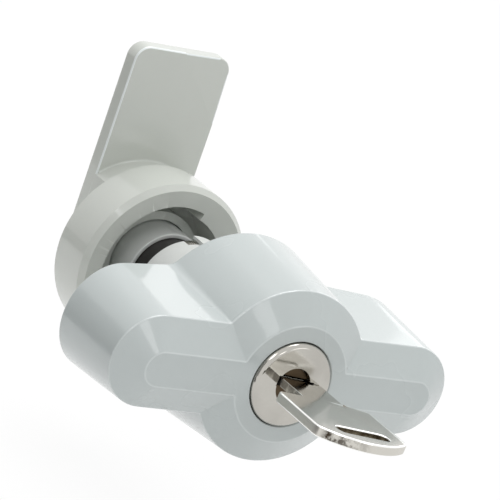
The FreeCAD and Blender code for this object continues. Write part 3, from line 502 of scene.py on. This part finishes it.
def knobCore():                        # the bore, the housing's seat and the recess behind
    bore, housing, flange, recess = [knob[name] for name in ("bore", "housing", "flange", "recess")]
    return lathe("tool", [
        (0, knob["cutFrom"]), (bore + knob["mouthFlare"], knob["cutFrom"]),
        (bore, knob["mouthEnd"], knob["mouthRound"]), (bore, knob["housingSeat"]),
        (housing, knob["housingSeat"]), (housing, knob["flangeSeat"]),
        (flange, knob["flangeSeat"]), (flange, knob["recessSeat"]),
        (recess, knob["recessSeat"]), (recess, knob["rimFrom"]),
        (recess + knob["rimFlare"], knob["cutTo"]), (0, knob["cutTo"])])


def knobPocket(side):                  # the hollow in one wing, round a cross of ribs
    middle, corner, wide = knob["pocketCentre"], knob["pocketCorner"], knob["rib"] / 2
    rings = []
    for y, less in knob["pocketWall"]:
        half = knob["pocketHalf"] - less
        tip = arc(middle, 0, half, -90, 90, 24)
        root = arc(knob["pocketIn"] + less + corner, half - corner, corner, 90, 180, 6)
        rings.append([(side * a, y, b) for a, b in tip + root + [(a, -b) for a, b in root[::-1]]])
    near, far = sorted(side * x for x in knob["ribSpan"])
    return carve(loft("tool", rings),
                 block((side * middle - wide, knob["ribFront"], -knob["ribHigh"]),
                       (side * middle + wide, knob["ribEnd"], knob["ribHigh"])),
                 block((near, knob["ribFront"], -wide), (far, knob["ribEnd"], wide)))


def knobGlints(place, normal):         # faces on the front's and the shoulder's edges that get a painted highlight
    frontY, shoulderY = knob["front"][0], knob["shoulder"][0]
    below, above = knob["glintShoulder"]
    atFront = place.y < frontY + knob["glintFront"] and abs(normal.y) < 0.995
    atShoulder = shoulderY + below < place.y < shoulderY + above
    return atShoulder or (atFront and math.hypot(place.x, place.z) > knob["glintFrom"])


def buildKnob():
    front, shoulder = constant("front"), constant("shoulder")
    values = bent(inset(front, knob["frontRound"]), front,
                  mixed(front, shoulder, knob["slantFrom"]), 5)
    values += [mixed(front, shoulder, t) for t in knob["slantRows"]]
    values += bent(mixed(front, shoulder, 1 - knob["shoulderRound"] / knob["slant"]), shoulder,
                   sideValues(knob["shoulderRound"] / knob["flank"]), 7)
    values += [sideValues(t) for t in knob["flankRows"]]
    values += bent(sideValues(1 - knob["backRound"] / knob["flank"]), sideValues(1),
                   inset(sideValues(1), knob["backRound"]), 5)
    rings = [wholeRing(v) for v in values]
    count = len(rings[0])
    points = [p for ring in rings for p in ring]
    faces = strips(len(rings), count)
    for base in (0, len(points) - count):        # the two ends, in strips across
        for k in range(count // 2):
            loop = [k, k + 1, (count - k - 1) % count, (count - k) % count]
            faces.append([base + v for i, v in enumerate(loop) if v not in loop[:i]])
    shell = makeMesh("knobShell", points, faces)
    carve(shell, knobCore(), knobPocket(1), knobPocket(-1))
    mark(shell, edge=knobGlints)
    dress(polish(shell), "knob", finishes["knob"], "knob_shell")


buildKnob()
print("knob built")


# The key cylinder's plug, with its face, recess and keyway

plug = {
    "face": -31.5, "radius": 9.98, "bevel": 0.8, "bevelRound": (0.4, 0.5), "headBack": -27.7,
    "barrel": 7.4, "end": -7.6, "tilt": 5.0, "lift": 0.6,
    "recess": 4.2, "recessFloor": -29.5, "recessFlare": 0.15, "recessEdge": 0.25,
    "slot": (-4.5, 5.0), "slotHalf": 1.25, "slotEnd": -11.4,
    "flap": 4.05, "flapFront": -30.4, "flapBack": -29.6, "flapGap": 1.3,
}


def buildPlug():
    face, radius, bevel = plug["face"], plug["radius"], plug["bevel"]
    inner, outer = plug["bevelRound"]
    body = lathe("keyPlug", [
        (0, face), (radius - bevel, face, inner), (radius, face + bevel, outer), (radius, plug["headBack"]),
        (plug["barrel"], plug["headBack"]), (plug["barrel"], plug["end"]), (0, plug["end"])])
    recess, flare = plug["recess"], plug["recessFlare"]
    hole = lathe("tool", [(0, face - 1), (recess + 2 * flare, face - 1), (recess + flare, face, 0.1),
                          (recess, face + plug["recessEdge"]), (recess, plug["recessFloor"]),
                          (0, plug["recessFloor"])], 96)
    way = block((plug["slot"][0], face - 1, -plug["slotHalf"]),
                (plug["slot"][1], plug["slotEnd"], plug["slotHalf"]))
    carve(body, hole, spin(way, 0, plug["lift"]))
    spin(body, plug["tilt"])
    dress(polish(body, 0.06, 40), "plug", finishes["nickel"], "key_plug")


def buildFlaps():
    flap, front, back, gap = plug["flap"], plug["flapFront"], plug["flapBack"], plug["flapGap"]
    flaps = lathe("dustFlaps", [(0, front), (flap, front), (flap, back), (0, back)], 96)
    way = block((-flap - 1, front - 1, -gap), (flap + 1, back + 1, gap))
    carve(flaps, spin(way, 0, plug["lift"]))
    spin(flaps, plug["tilt"])
    dress(polish(flaps, 0.12, 40), "plug", finishes["bronze"], "dust_flaps")


buildPlug()
buildFlaps()
print("plug built")


# The key: a bow with a ring slot, a neck and a notched blade

key = {
    "bowLeft": -11.25, "bowRight": 13.45, "bowBack": -41.1, "bowFront": -62.8, "bowArc": 19.5, "noseGap": 4,
    "sideAt": -50, "corner": 1.6, "neckCorner": 0.6, "shoulderDrop": 2.0, "edge": 0.42,
    "bowHalf": 1.2, "neckHalf": 0.95, "neck": (-3.9, 6.9), "notch": -42.8, "lap": 0.4, "shoulder": -31.8,
    "blade": (-3.9, 4.4), "tip": -11.8, "slope": 2.5,
    "bitting": (0.7, 0.2, 0.9, 0.4, 0.6), "bittingSum": 1.1, "firstCut": -23.5, "pitch": 2.6,
    "ringSlot": (-5.3, 8.9), "ringAt": -57.3, "ringHalf": 1.6, "ringRim": 0.2,
    "ringFlare": ((0.3, -1), (0.3, 0), (0.1, 0.1), (0, 0.3)),       # wider by, below the face
}


def bowOutline():
    left, right, back, corner = key["bowLeft"], key["bowRight"], key["bowBack"], key["corner"]
    middle, radius = (left + right) / 2, key["bowArc"]
    reach = math.degrees(math.asin((right - middle) / radius))
    centreY = key["bowFront"] + radius
    cornerY = centreY - radius * math.cos(math.radians(reach))
    spread = reach - key["noseGap"]
    nose = arc(middle, centreY, radius, 270 - spread, 270 + spread, 36)
    return rounded([(left, key["sideAt"]), (left, cornerY, corner), *nose, (right, cornerY, corner),
                    (right, back - key["shoulderDrop"], corner), (key["neck"][1], back, key["neckCorner"]),
                    (left, back, corner)], True, 8)


def makeBow():
    half, outline, edge = key["bowHalf"], bowOutline(), roundEdge(key["edge"])
    levels = [(less, deep - half) for less, deep in edge]
    levels += [(less, half - deep) for less, deep in reversed(edge)]
    bow = loft("key", [[(a, b, level) for a, b in shrunk(outline, less)] for less, level in levels])
    low, high = key["neck"]
    for side in (1, -1):
        near, far = sorted((side * key["neckHalf"], side * (half + 1)))
        carve(bow, block((low, key["notch"], near), (high, key["bowBack"] + 1, far)))
    a, b = key["ringSlot"]
    r = key["ringHalf"]
    hole = arc(b - r, key["ringAt"], r, -90, 90, 12) + arc(a + r, key["ringAt"], r, 90, 270, 12)
    flare = [(wide, deep - half) for wide, deep in key["ringFlare"]]
    flare += [(wide, -level) for wide, level in reversed(flare)]
    carve(bow, loft("tool", [[(x, y, level) for x, y in shrunk(hole, -wide)] for wide, level in flare]))
    return settle(polish(bow, angle=40))


def makeShank():                       # the neck and the notched blade
    left, right = key["neck"]
    low, high = key["blade"]
    start, tip, slope = key["notch"] - key["lap"], key["tip"], key["slope"]
    cuts = [(key["firstCut"] + key["pitch"] * i, depth) for i, depth in enumerate(key["bitting"])]
    outline = [(left, start), (right, start), (right, key["shoulder"]), (high, key["shoulder"])]
    for at, depth in cuts:
        outline += [(high, at - depth), (high - depth, at), (high, at + depth)]
    outline += [(high, tip - slope), (high - slope, tip), (low + slope, tip), (low, tip - slope)]
    for at, depth in reversed(cuts):
        depth = key["bittingSum"] - depth
        outline += [(low, at + depth), (low + depth, at), (low, at - depth)]
    shank = slab("shank", outline, -key["neckHalf"], key["neckHalf"])
    return settle(polish(shank, 0.09, 40))


def buildKey():
    whole = unite(makeBow(), makeShank())
    a, b = key["ringSlot"]
    middle, reach = (a + b) / 2, (b - a) / 2 + key["ringRim"]
    # the bevelled faces are marked edge and get a painted highlight in the key's finish
    mark(whole, edge=lambda place, normal: 0.2 < abs(normal.z) < 0.998,
         slot=lambda place, normal: (abs(normal.z) < 0.3 and abs(place.x - middle) < reach
                                     and abs(place.y - key["ringAt"]) < key["ringHalf"] + key["ringRim"]),
         sheared=lambda place, normal: abs(normal.z) < 0.3)
    spin(whole, plug["tilt"], plug["lift"])
    dress(polish(whole), "key_piece", finishes["keyNickel"], "key")


buildKey()
print("key built")


# The cam: a cup, a block behind it and the blade with its lead-in

cam = {
    "rim": 28.4, "radius": 21.5, "rimBevel": 1.25, "stop": 14.7, "bore": 16.4, "floor": 39.0, "back": 41.2,
    "backBevel": 0.5, "neck": 19.7, "lap": 0.6, "ring": (10.3, 12.3), "ringFront": 35.4,
    "freeFrom": -98.0, "freeTo": 20.0,
    "half": 13.2, "bladeFront": 47.5, "bladeBack": 51.7, "top": 46.8, "corner": 3.6,
    "square": 5.58, "squareFrom": 36, "squareTo": 60, "root": 0.5, "rootFrom": 2,
    "edge": 0.46, "cupEdge": 0.16, "boreEdge": 0.08,
    "rampTurn": 50.0, "rampStart": 29.8, "rampSlope": 4.0,
    "glintIn": 0.02, "rimGlint": 0.3, "rimGlintTo": 0.2,
}


def camEdge(place):                    # how wide the edge through this place is rounded
    if place.y > cam["bladeFront"] - 0.3:
        return cam["edge"]
    inside = math.hypot(place.x, place.z) <= cam["ring"][0] - 0.5
    return cam["boreEdge"] if inside else cam["cupEdge"]


def pastLeadIn(x, z):                  # how far a point lies past the line where the lead-in starts
    turn = math.radians(cam["rampTurn"])
    return x * math.sin(turn) + z * math.cos(turn) - cam["rampStart"]


def squareHole():
    side = cam["square"]
    return block((-side, cam["squareFrom"], -side), (side, cam["squareTo"], side))


def bladeOutline(less):                # one ring of the blade, with the ends of the lead-in's line
    half, top, corner = cam["half"] - less, cam["top"] - less, cam["corner"] - less
    low = arc(0, 0, half, 180, 360, 60)
    turn = math.radians(cam["rampTurn"])
    start = cam["rampStart"]
    crossTop = ((start - top * math.cos(turn)) / math.sin(turn), top)
    crossSide = (half, (start - half * math.sin(turn)) / math.cos(turn))
    right = [crossSide] + arc(half - corner, top - corner, corner, 0, 90, 14)
    left = [crossTop] + arc(corner - half, top - corner, corner, 90, 180, 14)
    return right, left + low


def makeBlade():
    slope, edge = math.tan(math.radians(cam["rampSlope"])), roundEdge(cam["edge"])
    rings = []
    for less, deep in edge:
        right, left = bladeOutline(less)
        level = cam["bladeFront"] + deep
        rings.append([(x, level + slope * max(0, pastLeadIn(x, z)), z) for x, z in right + left])
    for less, deep in reversed(edge):
        right, left = bladeOutline(less)
        rings.append([(x, cam["bladeBack"] - deep, z) for x, z in right + left])
    count, seam = len(rings[0]), len(right)      # the lead-in's line joins point 0 and the seam
    points = [p for ring in rings for p in ring]
    caps = [list(range(seam + 1)), list(range(seam, count)) + [0],
            list(range(len(points) - count, len(points)))]
    blade = makeMesh("blade", points, caps + strips(len(rings), count))
    carve(blade, squareHole())
    return settle(polish(blade, angle=38, crease=lambda place: pastLeadIn(place.x, place.z)))


def makeCup():                         # the cup, the ring in it and the block behind
    half, radius, neck = cam["half"], cam["radius"], cam["neck"]
    inner, outer = cam["ring"]
    body = lathe("camBody", [
        (0, cam["floor"]), (inner, cam["floor"]), (inner, cam["ringFront"]), (outer, cam["ringFront"]),
        (outer, cam["floor"]), (cam["stop"], cam["floor"]), (cam["stop"], cam["rim"]),
        (radius - cam["rimBevel"], cam["rim"]), (radius, cam["rim"] + cam["rimBevel"]),
        (radius, cam["back"] - cam["backBevel"]), (radius - cam["backBevel"], cam["back"]),
        (0, cam["back"])], 180)
    start, end = 90 - cam["freeTo"], 90 - cam["freeFrom"]
    sector = arc(0, 0, cam["bore"], start, end, 60) + arc(0, 0, cam["stop"] - cam["lap"], end, start, 60)
    carve(body, slab("tool", sector, cam["rim"] - 1, cam["floor"], "Y"))
    lean = math.degrees(math.acos(half / neck))
    outline = arc(0, 0, neck, lean, 180 - lean, 48) + arc(0, 0, half - 0.02, 180, 360, 48)
    front, back = cam["back"] - cam["backBevel"] - 0.1, cam["bladeFront"] + cam["lap"]
    unite(body, slab("tool", outline, front, back, "Y"))      # a hair inside the blade's round end
    carve(body, squareHole())
    soften(body, cam["edge"], camEdge)
    return settle(polish(body))


def makeRoot():                        # the small fillet between the block and the blade's face
    half, neck, front, root = cam["half"] - cam["edge"], cam["neck"], cam["bladeFront"], cam["root"]
    hollow = [(neck + root - root * math.sin(a), front - root + root * math.cos(a))
              for a in np.linspace(math.pi / 2, 0, 7)]
    fillet = lathe("root", hollow + [(neck + root, front + 0.3), (neck - 1, front + 0.3),
                                     (neck - 1, front - root)], 180, True)
    overlap(fillet, block((-half, front - 2, cam["rootFrom"]), (half, front + 2, neck + 2)))
    return settle(polish(fillet, angle=38))


def camGlints(place, normal):          # faces for a painted highlight: full on the blade's long edges, faint on the cup's rim
    front = cam["bladeFront"]
    atBlade = front + cam["glintIn"] < place.y < front + cam["edge"] and place.z > cam["radius"]
    atRim = place.y < cam["rim"] + cam["rimGlintTo"] and 0.3 < abs(normal.y) < 0.95
    return (atBlade and abs(normal.y) < 0.99) or cam["rimGlint"] * atRim


def buildCam():
    whole = joined([makeCup(), makeRoot(), makeBlade()])
    mark(whole, edge=camGlints)
    dress(whole, "knob", finishes["cam"], "cam")


buildCam()
print("cam built")


# What is turned about the axis: half sections as (radius, y, rounding) corners

turnings = {
    "spacerSleeve": ("knob", "grey_plastic", "sleeve", "spacer_sleeve", [
        (8.95, 39.0, 0.1), (8.95, 27.5, 0.35), (10.0, 27.5, 0.35), (10.0, 39.0, 0.1)]),
    "panelGasket": ("door_fixing", "seal_rubber", "rubber", "panel_gasket", [
        (12.2, 0, 0.1), (12.2, -1.0, 0.1), (19.5, -1.0, 0.35), (19.5, 0, 0.35)]),
    "camWasher": ("knob", "steel", "zinc", "cam_washer", [
        (4.3, 51.7, 0.1), (11.0, 51.7, 0.15), (11.0, 53.5, 0.5), (4.3, 53.5, 0.2)]),
}
for name, (body, slot, finish, node, corners) in turnings.items():
    turning = lathe(name, corners, 120, True)
    dress(polish(turning), body, finishes[finish], node)
print("turned pieces built")


# The bush with its thread, and the hexagon nut on it

bush = {
    "flangeFront": -4.0, "flangeBack": -1.0, "flange": 19.5, "barrel": 11.8, "end": 20.5, "bore": 9.0,
    "corner": 0.5, "cornerMiddle": 0.15,
    "threadFrom": -0.4, "threadTo": 9.6, "pitch": 1.5, "depth": 0.42, "fade": 1.0, "rows": 10, "around": 120,
    "room": ((-3.3, 17.9, 0.7), (30, 30, 14)),    # two corners of what is cut away round the tongue's nose
    "screwAt": 14.5, "screwTurn": 45, "screwHole": 1.0, "holeFrom": 10.2, "holeTo": 13,
    "nut": (3.3, 7.9), "nutCorner": 15.2, "nutBore": 11.86, "nutChamfer": 1.5, "nutEdge": 0.5,
    "boreFlare": 1.6, "boreEdge": 0.6,
}


def bushRows():                        # radius and y of each row of points, once round the section
    flange, barrel, bore = bush["flange"], bush["barrel"], bush["bore"]
    front, back, end = bush["flangeFront"], bush["flangeBack"], bush["end"]
    corner, middle = bush["corner"], bush["cornerMiddle"]
    step = bush["pitch"] / bush["rows"]
    count = round((bush["threadTo"] - bush["threadFrom"]) / step)
    return [(bore, front), (flange - corner, front), (flange - middle, front + middle),
            (flange, front + corner), (flange, back), (barrel, back),
            *[(barrel, bush["threadFrom"] + step * i) for i in range(count + 1)],
            (barrel, end - corner), (barrel - middle, end - middle), (barrel - corner, end), (bore, end)]


def atScrew(tool):                     # moved to the catch screw, on the slant
    tool.data.transform(Matrix.Translation((0, bush["screwAt"] * mm, 0)))
    return spin(tool, bush["screwTurn"])


def buildBush():
    around, first, last = bush["around"], bush["threadFrom"], bush["threadTo"]
    rows = bushRows()
    points = []
    for radius, y in rows:
        inside = first < y < last and radius == bush["barrel"]
        fade = min(1, (y - first) / bush["fade"], (last - y) / bush["fade"]) if inside else 0
        for k in range(around):
            turn = k / around
            phase = ((y - first) / bush["pitch"] - turn) % 1
            deep = radius - bush["depth"] * fade * abs(2 * phase - 1)
            points.append((deep * math.sin(math.tau * turn), y, deep * math.cos(math.tau * turn)))
    faces = []
    for i in range(len(rows)):
        a, b = i * around, (i + 1) % len(rows) * around
        for k in range(around):
            n = (k + 1) % around
            faces.append([a + k, b + k, b + n, a + n])
    body = makeMesh("guideBush", points, faces)
    hole = slab("tool", circle(bush["screwHole"]), bush["holeFrom"], bush["holeTo"])
    carve(body, block(*bush["room"]), atScrew(hole))
    dress(polish(body, 0.1, 50), "door_fixing", finishes["bush"], "guide_bush")


def buildNut():
    low, high = bush["nut"]
    corner, bore, edge, less = bush["nutCorner"], bush["nutBore"], bush["nutEdge"], bush["nutChamfer"]
    nut = slab("bushNut", circle(corner, 6), low, high, "Y")
    overlap(nut, lathe("tool", [(0, low), (corner - less, low), (corner, low + edge),
                                (corner, high - edge), (corner - less, high), (0, high)]))
    wide, edge = bore + bush["boreFlare"], bush["boreEdge"]
    carve(nut, lathe("tool", [(0, low - 1), (wide, low - 1), (bore, low + edge), (bore, high - edge),
                              (wide, high + 1), (0, high + 1)]))
    dress(polish(nut, 0.12, 20), "door_fixing", finishes["zinc"], "bush_nut")


buildBush()
buildNut()
print("bush and nut built")


# The catch on the bush and the tongue that stands beside it

catch = {
    "inner": 11.85, "under": 12.0, "outer": 12.7, "front": 10.0, "step": 17.9, "back": 20.8, "lap": 0.01,
    "left": -0.7, "low": 3.3, "screw": 1.0, "screwFrom": 10, "screwTo": 14,
    "head": 1.6, "headFloor": 12.1, "headCone": 0.6, "headDeep": 1.5,
    "tongueFront": 18.2, "tongueBack": 20.2, "tongueHalf": 4.1, "tongueTop": 4.9, "tongueTail": 5.4,
    "nose": (-3.1, -0.9), "noseEnd": 11.8, "pinSide": 1.5, "pin": 0.9, "grooves": 4, "grooveFrom": 11.3,
}


def catchSection(inner):               # a slice of the ring round the bush
    outer, left, low = catch["outer"], catch["left"], catch["low"]
    start, end = math.degrees(math.acos(left / outer)), math.degrees(math.asin(low / outer))
    near, far = math.degrees(math.asin(low / inner)), math.degrees(math.acos(left / inner))
    return arc(0, 0, outer, end, start, 40) + arc(0, 0, inner, far, near, 40)


def buildCatch():
    step = catch["step"]
    shell = slab("catchBlock", catchSection(catch["inner"]), catch["front"], step + catch["lap"], "Y")
    unite(shell, slab("tool", catchSection(catch["under"]), step, catch["back"], "Y"))
    hole = slab("tool", circle(catch["screw"]), catch["screwFrom"], catch["screwTo"])
    seat = ((0, catch["screw"]), (catch["headCone"], catch["head"]), (catch["headDeep"], catch["head"]))
    sink = loft("tool", [[(a, b, catch["headFloor"] + level) for a, b in circle(radius)]
                         for level, radius in seat])
    carve(shell, atScrew(hole), atScrew(sink))
    dress(polish(shell, 0.12, 40), "door_fixing", finishes["bush"], "catch_block")


def buildTongue():
    left, right = catch["nose"]
    low, high = catch["tongueFront"], catch["tongueBack"]
    half, top, tail = catch["tongueHalf"], catch["tongueTop"], catch["tongueTail"]
    nose = [(x, math.sqrt(catch["noseEnd"] ** 2 - x * x)) for x in (right, (left + right) / 2, left)]
    tongue = slab("lockingTongue", [(-half, -tail), (half, -tail), (half, top), (right, top), *nose,
                                    (left, top), (-half, top)], low, high, "Y")
    side, pin = catch["pinSide"], catch["pin"]
    tools = [block((-side * math.sqrt(2) - pin, low - 1, -side - pin), (-side + pin, high + 1, -side + pin))]
    pitch = (right - left) / catch["grooves"]
    for i in range(catch["grooves"]):
        at = left + pitch * (i + 0.5)
        tools.append(block((at - pitch / 4, low - 1, catch["grooveFrom"]),
                           (at + pitch / 4, high + 1, catch["noseEnd"] + 1)))
    carve(tongue, *tools)
    dress(polish(tongue, 0.07, 40), "tongue", finishes["nickel"], "locking_tongue")


buildCatch()
buildTongue()
print("catch and tongue built")


# The screw and spring washer that hold the cam

fixing = {
    "seat": 53.5, "split": 1.8, "splitRadius": 7.2, "splitBore": 4.3, "gap": 0.5,
    "headRadius": 6.5, "headBack": 60.3, "headEdge": 0.8, "seatEdge": 0.3, "shank": 3.9, "end": 37.3,
    "socket": 3.5, "socketFloor": 57.8,
    "grips": 36, "gripHalf": 0.16, "gripDeep": 0.22, "gripFrom": 56.2, "gripTo": 59.4,
}


def buildSpringWasher():
    bore, radius, low, gap = fixing["splitBore"], fixing["splitRadius"], fixing["seat"], fixing["gap"]
    high = low + fixing["split"]
    washer = lathe("springWasher", [(bore, low, 0.2), (radius, low, 0.3), (radius, high, 0.3),
                                    (bore, high, 0.2)], 96, True)
    carve(washer, block((-gap, low - 3, 0), (gap, high + 3, radius + 3)))
    dress(polish(washer, 0.08, 40), "knob", finishes["zinc"], "spring_washer")


def buildCamScrew():
    radius, shank, back, end = fixing["headRadius"], fixing["shank"], fixing["headBack"], fixing["end"]
    front, edge, seatEdge = fixing["seat"] + fixing["split"], fixing["headEdge"], fixing["seatEdge"]
    screw = lathe("camScrew", [
        (0, back), (radius - edge, back, 0.2), (radius, back - edge, 0.3), (radius, front + seatEdge),
        (radius - seatEdge, front), (shank, front), (shank, end + edge), (shank - edge, end), (0, end)], 144)
    tools = []
    for k in range(fixing["grips"]):
        groove = block((-fixing["gripHalf"], fixing["gripFrom"], radius - fixing["gripDeep"]),
                       (fixing["gripHalf"], fixing["gripTo"], radius + 1))
        tools.append(spin(groove, 360 * k / fixing["grips"]))
    tools.append(slab("tool", circle(fixing["socket"], 6), fixing["socketFloor"], back + 1, "Y"))
    carve(screw, joined(tools))
    dress(polish(screw, 0.06, 40), "knob", finishes["zinc"], "cam_screw")


buildSpringWasher()
buildCamScrew()
print("fixing built")


# The CAD's own pieces that are right as they are

kept = {
    "lock_housing": "nickel", "wafers": "brass", "wafer_springs": "zinc", "plug_clip": "zinc",
    "drive_bar": "zinc", "stem": "stem", "stem_screws": "zinc", "stem_seal": "rubber",
    "retaining_ring": "zinc", "lock_washer": "zinc", "catch_screw": "zinc",
}
for name, finish in kept.items():
    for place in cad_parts[name].material_slots:
        place.material = finishes[finish]
print("kept pieces finished")


# Studio: floor, light and camera

studio = {
    "floor": -0.0475, "floorHalf": 3.0, "floorShade": 0.8, "matt": 0.9,
    "glow": 1.02, "glowShare": 0.9, "worldFill": 0.60,
    "eye": (-0.505875, -0.684212, 0.262979), "eyeTurn": (73.061145, -18.632485, -30.925928),
    "lens": 288.0, "sensor": 36.0, "clip": (0.05, 20),
    "lamps": [                         # place, size, watts
        ((0.15, 0.25, 1.05), 0.7, 6.4),
        ((0.90, 0.55, 0.55), 0.6, 1.3),
        ((-0.75, -0.55, 0.85), 0.35, 1.6),
        ((-0.055, -0.94, 0.57), 0.22, 0.34),
        ((0.45, -0.80, 0.30), 0.3, 0.25),
        ((0.649, 0.848, 0.502), 0.064, 0.014),
    ],
    "cards": [                         # two opposite corners of a card, upright or lying, and its shade
        ((-0.42, -0.25, -0.045), (-0.42, 0.55, 0.28), 0.40),
        ((-0.42, -0.10, -0.047), (-0.14, 0.50, -0.047), 0.12),
    ],
}


def grey(shade):
    return (shade, shade, shade, 1)


def whiteRays(tree):                   # 1 for what the camera, a mirror or glass shows
    rays = tree.nodes.new("ShaderNodeLightPath")
    seen, mirrored, clear = [Wire(tree, rays.outputs[name])
                             for name in ("Is Camera Ray", "Is Glossy Ray", "Is Transmission Ray")]
    return seen | mirrored | clear


def buildFloor():
    half, level = studio["floorHalf"] / mm, studio["floor"] / mm
    floor = makeMesh("floor", [(x * half, y * half, level) for x, y in ((-1, -1), (1, -1), (1, 1), (-1, 1))],
                     [(0, 1, 2, 3)])
    white = Finish("floorWhite", Base_Color=grey(studio["floorShade"]), Roughness=studio["matt"])
    glow = white.node("Emission", values={"Strength": studio["glow"]})
    both = white.node("MixShader", values={0: studio["glowShare"] * whiteRays(white.tree),
                                           1: Wire(white.tree, white.shader.outputs[0]), 2: glow})
    feed(white.tree, white.tree.nodes["Material Output"].inputs["Surface"], both)
    floor.data.materials.append(white.material)


def buildWorld():
    world = scene.world or bpy.data.worlds.new("studio")
    scene.world = world
    world.use_nodes = True
    sky = world.node_tree.nodes["Background"]
    sky.inputs["Color"].default_value = grey(1)
    fill = studio["worldFill"]
    feed(world.node_tree, sky.inputs["Strength"], fill + (1 - fill) * whiteRays(world.node_tree))


def buildCards():
    for i, (low, high, shade) in enumerate(studio["cards"]):
        corners = [low, (high[0], high[1], low[2]), high, (low[0], low[1], high[2])]
        if low[2] == high[2]:
            corners = [low, (high[0], low[1], low[2]), high, (low[0], high[1], low[2])]
        card = makeMesh("card%d" % i, [[c / mm for c in p] for p in corners], [(0, 1, 2, 3)])
        look = Finish("cardGrey%d" % i, Base_Color=grey(shade), Roughness=studio["matt"])
        card.data.materials.append(look.material)
        card.visible_camera = False    # they only shade and mirror


def buildLamps():                      # all turned to the frame's origin
    for i, (place, size, watts) in enumerate(studio["lamps"]):
        lamp = bpy.data.lights.new("lamp%d" % i, "AREA")
        lamp.size, lamp.energy = size, watts
        thing = bpy.data.objects.new("lamp%d" % i, lamp)
        thing.location = place
        thing.rotation_euler = (-Vector(place)).to_track_quat("-Z", "Y").to_euler()
        scene.collection.objects.link(thing)


def buildCamera():
    eye = bpy.data.cameras.new("camera")
    eye.lens, eye.sensor_width = studio["lens"], studio["sensor"]
    eye.clip_start, eye.clip_end = studio["clip"]
    thing = bpy.data.objects.new("camera", eye)
    thing.location = studio["eye"]
    thing.rotation_euler = [math.radians(v) for v in studio["eyeTurn"]]
    scene.collection.objects.link(thing)
    scene.camera = thing


buildFloor()
buildWorld()
buildCards()
buildLamps()
buildCamera()
scene.view_settings.view_transform = "Standard"
print("studio ready")

bpy.context.view_layer.update()
